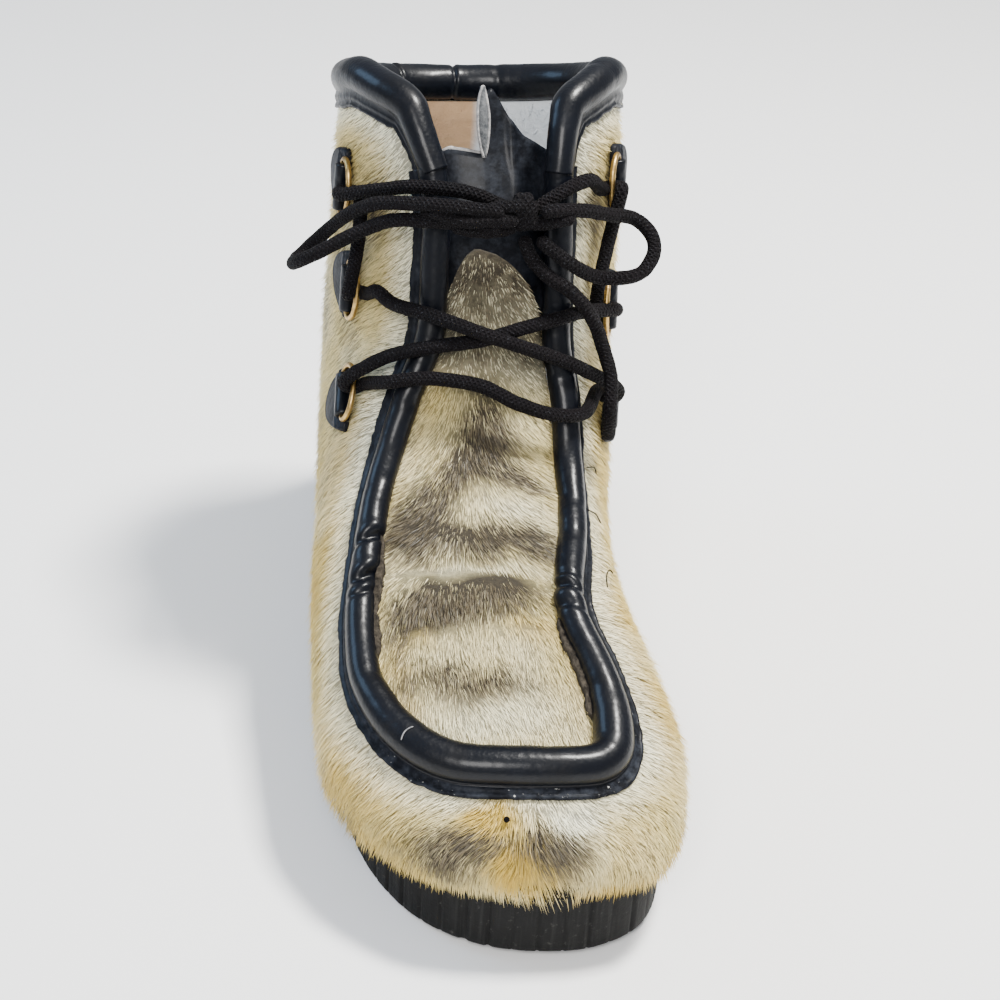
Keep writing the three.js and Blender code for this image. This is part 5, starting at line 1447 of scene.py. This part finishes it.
def makeApron():
    station, angle = apronGrid(apron["rows"], apron["columns"])
    on = skin(station, angle)
    lift = peltLift(on, -6.0) + apronRelief(on, station) * soft(4, 9, nearTo(on, pipeLine[::3])[0])
    top = lifted(station, angle, lift)
    under = lifted(station, angle, np.full(station.shape, -boot["wall"] + 0.1))
    marks = furMarks(station, angle, on, True)
    made = wallPiece("furApron", top, under, furPelt, {mark: marks[mark] for mark in furColours})
    dress(made, "fur_banded", "apron")
    along, around, normal = skinDirections(station, angle)
    fan = np.clip((on[..., 0] + 5) / 26, -1, 1)
    spreading = 0.25 + 1.05 * soft(0.37, 0.47, station)
    forward = 1 - 0.35 * np.abs(fan) * soft(0.40, 0.5, station)
    lay = -around * (fan * spreading)[..., None] - along * forward[..., None]
    lay = turnedBy(lay, normal, 0.26 * lumps(on, 16, 43) + 0.20 * lumps(on, 6, 44))
    gap = marks["gap"]
    marks["lay"] = lay
    marks["thick"] = soft(3.2, 4.8, gap) * (0.9 + 0.1 * soft(0.66, 0.60, station))
    marks["long"] = 0.74 + 0.10 * lumps(on, 9, 45) - 0.32 * soft(0.58, 0.64, station) - 0.18 * soft(10, 4, gap)
    settings = {**coat, "Hairs": coat["Hairs"] * 1.5, "Width": coat["Width"] * 0.9, "Rise": 0.13, "Seed": 41,
                "Tuft size": 0.0038}
    growCoat("fur_apron", lifted(station, angle, lift - 0.2), gridFaces(*station.shape, False), normal, marks,
             furHair, "fur_banded", settings)


# The tongue: leather inside the shaft, folded in the middle, with a cut edge
tongue = {"start": 0.62, "width": 58, "thickness": 2.6, "rows": 56, "columns": 110, "dense": 42, "dusty": 0.55,
          "clearance": 1.1, "sinks": 5, "lap": 0.9, "cutRadius": 0.95, "lipFrom": 0.903, "lipTo": 0.975,
          "lipHalf": 2.3, "lipThickness": 0.9, "lipRimRadius": 0.42}
tongueTop = np.array([  # share of the width, and the station of the upper edge there
    [0.0, 0.905], [0.20, 0.912], [0.43, 0.906], [0.472, 0.909], [0.484, 0.930], [0.500, 0.970], [0.53, 0.974],
    [0.58, 0.963], [0.65, 0.943], [0.77, 0.925], [1.0, 0.912],
])


# The angle at a share of the tongue's width
def tongueAngle(station, half, share):
    return angleAt(station, midX(station) + half * (2 * share - 1))


def makeTongue():
    even = np.linspace(0, 1, tongue["columns"] - tongue["dense"])
    shares = np.sort(np.concatenate([even, np.linspace(0.431, 0.521, tongue["dense"])]))
    top = np.interp(shares, *tongueTop.T)
    rise = np.linspace(0, 1, tongue["rows"])[:, None]
    station = tongue["start"] + (top - tongue["start"])[None, :] * rise
    depth = -boot["wall"] - tongue["clearance"] - tongue["sinks"] * soft(0.82, 0.93, station)
    share = np.broadcast_to(shares, station.shape)
    lap = tongue["lap"] * soft(0.44, 0.60, share) * soft(0.80, 0.90, station)
    angle = tongueAngle(station, tongue["width"] / 2 * soft(0.4, 0.75, station), share)
    on = skin(station, angle)
    waves = 0.4 * lumps(on, 13, 51) + 1.0 * bell(share, 0.67, 0.035) * soft(0.80, 0.90, station)
    face = lifted(station, angle, depth + waves - lap)
    under = lifted(station, angle, depth + waves - lap - tongue["thickness"])
    made = wallPiece("leatherTongue", face, under, blackLeather, {"dusty": np.full(station.shape, tongue["dusty"])})
    # the cut edge of its left part, and the lip that is folded over at the slit, both pale grey
    cut = np.linspace(0.02, 0.472, 60)
    height = np.interp(cut, *tongueTop.T)
    deep = -boot["wall"] - tongue["clearance"] - tongue["sinks"] - tongue["lap"]
    edge = lifted(height, tongueAngle(height, tongue["width"] / 2, cut), np.full(len(cut), deep))
    rim = tube("tongueCut", evenly(edge, 90), tongue["cutRadius"], 10, paleEdge, wobble=0.18, seed=54)
    share = np.linspace(0, 1, 44)
    height = tongue["lipFrom"] + (tongue["lipTo"] - tongue["lipFrom"]) * share
    leaf = []
    for side in (-1, 1):
        wide = side * tongue["lipHalf"] * np.sin(math.pi * np.clip(share, 0.02, 0.98)) ** 0.6
        turn = angleAt(height, midX(height) - 2.6 + 0.9 * share + wide)
        deep = -boot["wall"] - tongue["sinks"] + 0.6 * np.sin(math.pi * share) - 0.8 * (side > 0)
        leaf.append(lifted(height, turn, deep))
    left, right = leaf
    back = np.cross(unit(right - left), unit(np.gradient(left, axis=0)))
    back = back * np.where(back[:, 1:2] < 0, -1, 1)
    part = np.linspace(0, 1, 9)[None, :, None]
    thick = back[:, None] * tongue["lipThickness"]
    front = left[:, None] + (right - left)[:, None] * part - thick * np.sin(math.pi * part)
    lip = closedPiece("tongueLip", np.concatenate([front, front[:, ::-1] + thick], 1), lipSuede)
    outline = np.concatenate([left, right[::-1]]) - np.array([0, 0.25, 0])
    line = evenly(laid(outline, 3, True), 150, True)
    lipRim = tube("tongueLipRim", line, tongue["lipRimRadius"], 8, paleEdge, True)
    dress(joinPieces("tongueEdges", [rim, lip, lipRim]), None)
    dress(made, "leather_black", "tongue")


makePelt()
makeApron()
makeTongue()
print("pelt, apron and tongue done")
makeSideCoats()
print("coats done")


# Small marks of wear: thread ends left in the fur, a needle hole at the toe, whose dark inside is painted shade in
# the form of a black plug, and a pale nick in the roll.
# Threads and hole are rows of station, degrees and lift.
wear = {"threads": [[(0.508, 47, 2.0), (0.506, 43, 3.2), (0.507, 39, 3.4), (0.504, 35, 2.8)],
                    [(0.438, 42, 1.6), (0.446, 42.5, 3.0), (0.453, 40, 3.6), (0.453, 37.5, 3.2)],
                    [(0.560, 41, 1.8), (0.563, 38, 3.0), (0.561, 35, 2.4)]],
        "hole": [(0.157, 104, 0.4), (0.157, 104, 1.2), (0.157, 104, 2.2)],
        "nickStation": 0.283, "nickStands": 0.16, "nickFrom": 1.1, "nickTo": 2.0}


def makeMarks():
    parts = []
    for number, thread in enumerate(wear["threads"]):
        line = np.array([lifted(station, math.radians(degrees), lift) for station, degrees, lift in thread])
        parts.append(tube("thread" + str(number), evenly(laid(line, 8), 26), 0.21, 6, blackBraid))
    # the needle hole is not cut: a short black plug stands in its place as painted shade of the hole's inside
    hole = np.array([lifted(station, math.radians(degrees), lift) for station, degrees, lift in wear["hole"]])
    parts.append(tube("needleHoleShadePlug", evenly(laid(hole, 6), 14), 0.95, 10, blackBraid))
    dress(joinPieces("threadEnds", parts), "lace_black")
    ours = np.where(pipe["side"] == -1)[0]
    at = ours[np.argmin(np.abs(pipe["station"][ours] - wear["nickStation"]))]
    on, normal = pipeLine[at], skinNormal(pipe["station"][at], pipe["angle"][at])
    forward = unit(pipeLine[at + 1] - pipeLine[at - 1])
    side = unit(np.cross(normal, forward))
    reach = pipe["radius"][at] + wear["nickStands"]
    arc = []
    for turn in np.linspace(wear["nickFrom"], wear["nickTo"], 12):
        arc.append(on + normal * pipe["seat"][at] + side * reach * math.cos(turn) + normal * reach * math.sin(turn)
                   + forward * 0.7 * math.sin((turn - wear["nickFrom"]) * 3.4))
    dress(tube("rollNick", evenly(np.array(arc), 24), 0.2, 6, paleEdge), None)


makeMarks()


# Floor, world and lights
light = {"world": (0.92, 0.95, 1.0), "worldStrength": 0.50, "floor": (0.92, 0.92, 0.92),
         "floorSpots": (0.95, 0.95, 0.95), "aim": (0, 0.02, 0.09)}
lamps = [  # name, place, colour, power, size
    ("windowLight", (0.42, 0.10, 1.20), (1.0, 0.98, 0.93), 40, 0.22),
    ("skyLight", (-0.95, 0.35, 0.75), (0.42, 0.66, 1.0), 6, 0.5),
    ("frontLight", (-0.30, -1.15, 1.15), (1.0, 0.98, 0.95), 24, 0.6),
]


def makeStage():
    paper = Finish("paperFloor", Roughness=0.9)
    paper.feed("Base Color", paper.blend(paper.spots(3, 2), light["floor"], light["floorSpots"]))
    mesh = bpy.data.meshes.new("floor")
    mesh.from_pydata([(-6, -6, 0), (6, -6, 0), (6, 6, 0), (-6, 6, 0)], [], [(0, 1, 2, 3)])
    mesh.materials.append(paper.material)
    floor = bpy.data.objects.new("floor", mesh)
    scene.collection.objects.link(floor)
    world = bpy.data.worlds.new("studio")
    world.use_nodes = True
    back = world.node_tree.nodes["Background"]
    back.inputs["Color"].default_value = (*light["world"], 1)
    back.inputs["Strength"].default_value = light["worldStrength"]
    scene.world = world
    for name, place, tint, power, size in lamps:
        data = bpy.data.lights.new(name, "AREA")
        data.energy, data.size, data.color = power, size, tint
        lamp = bpy.data.objects.new(name, data)
        z = unit(np.array(place) - light["aim"])
        x = unit(np.cross((0, 0, 1), z))
        y = np.cross(z, x)
        lamp.matrix_world = Matrix([[x[i], y[i], z[i], place[i]] for i in range(3)] + [[0, 0, 0, 1]])
        scene.collection.objects.link(lamp)


makeStage()


print("finishing")
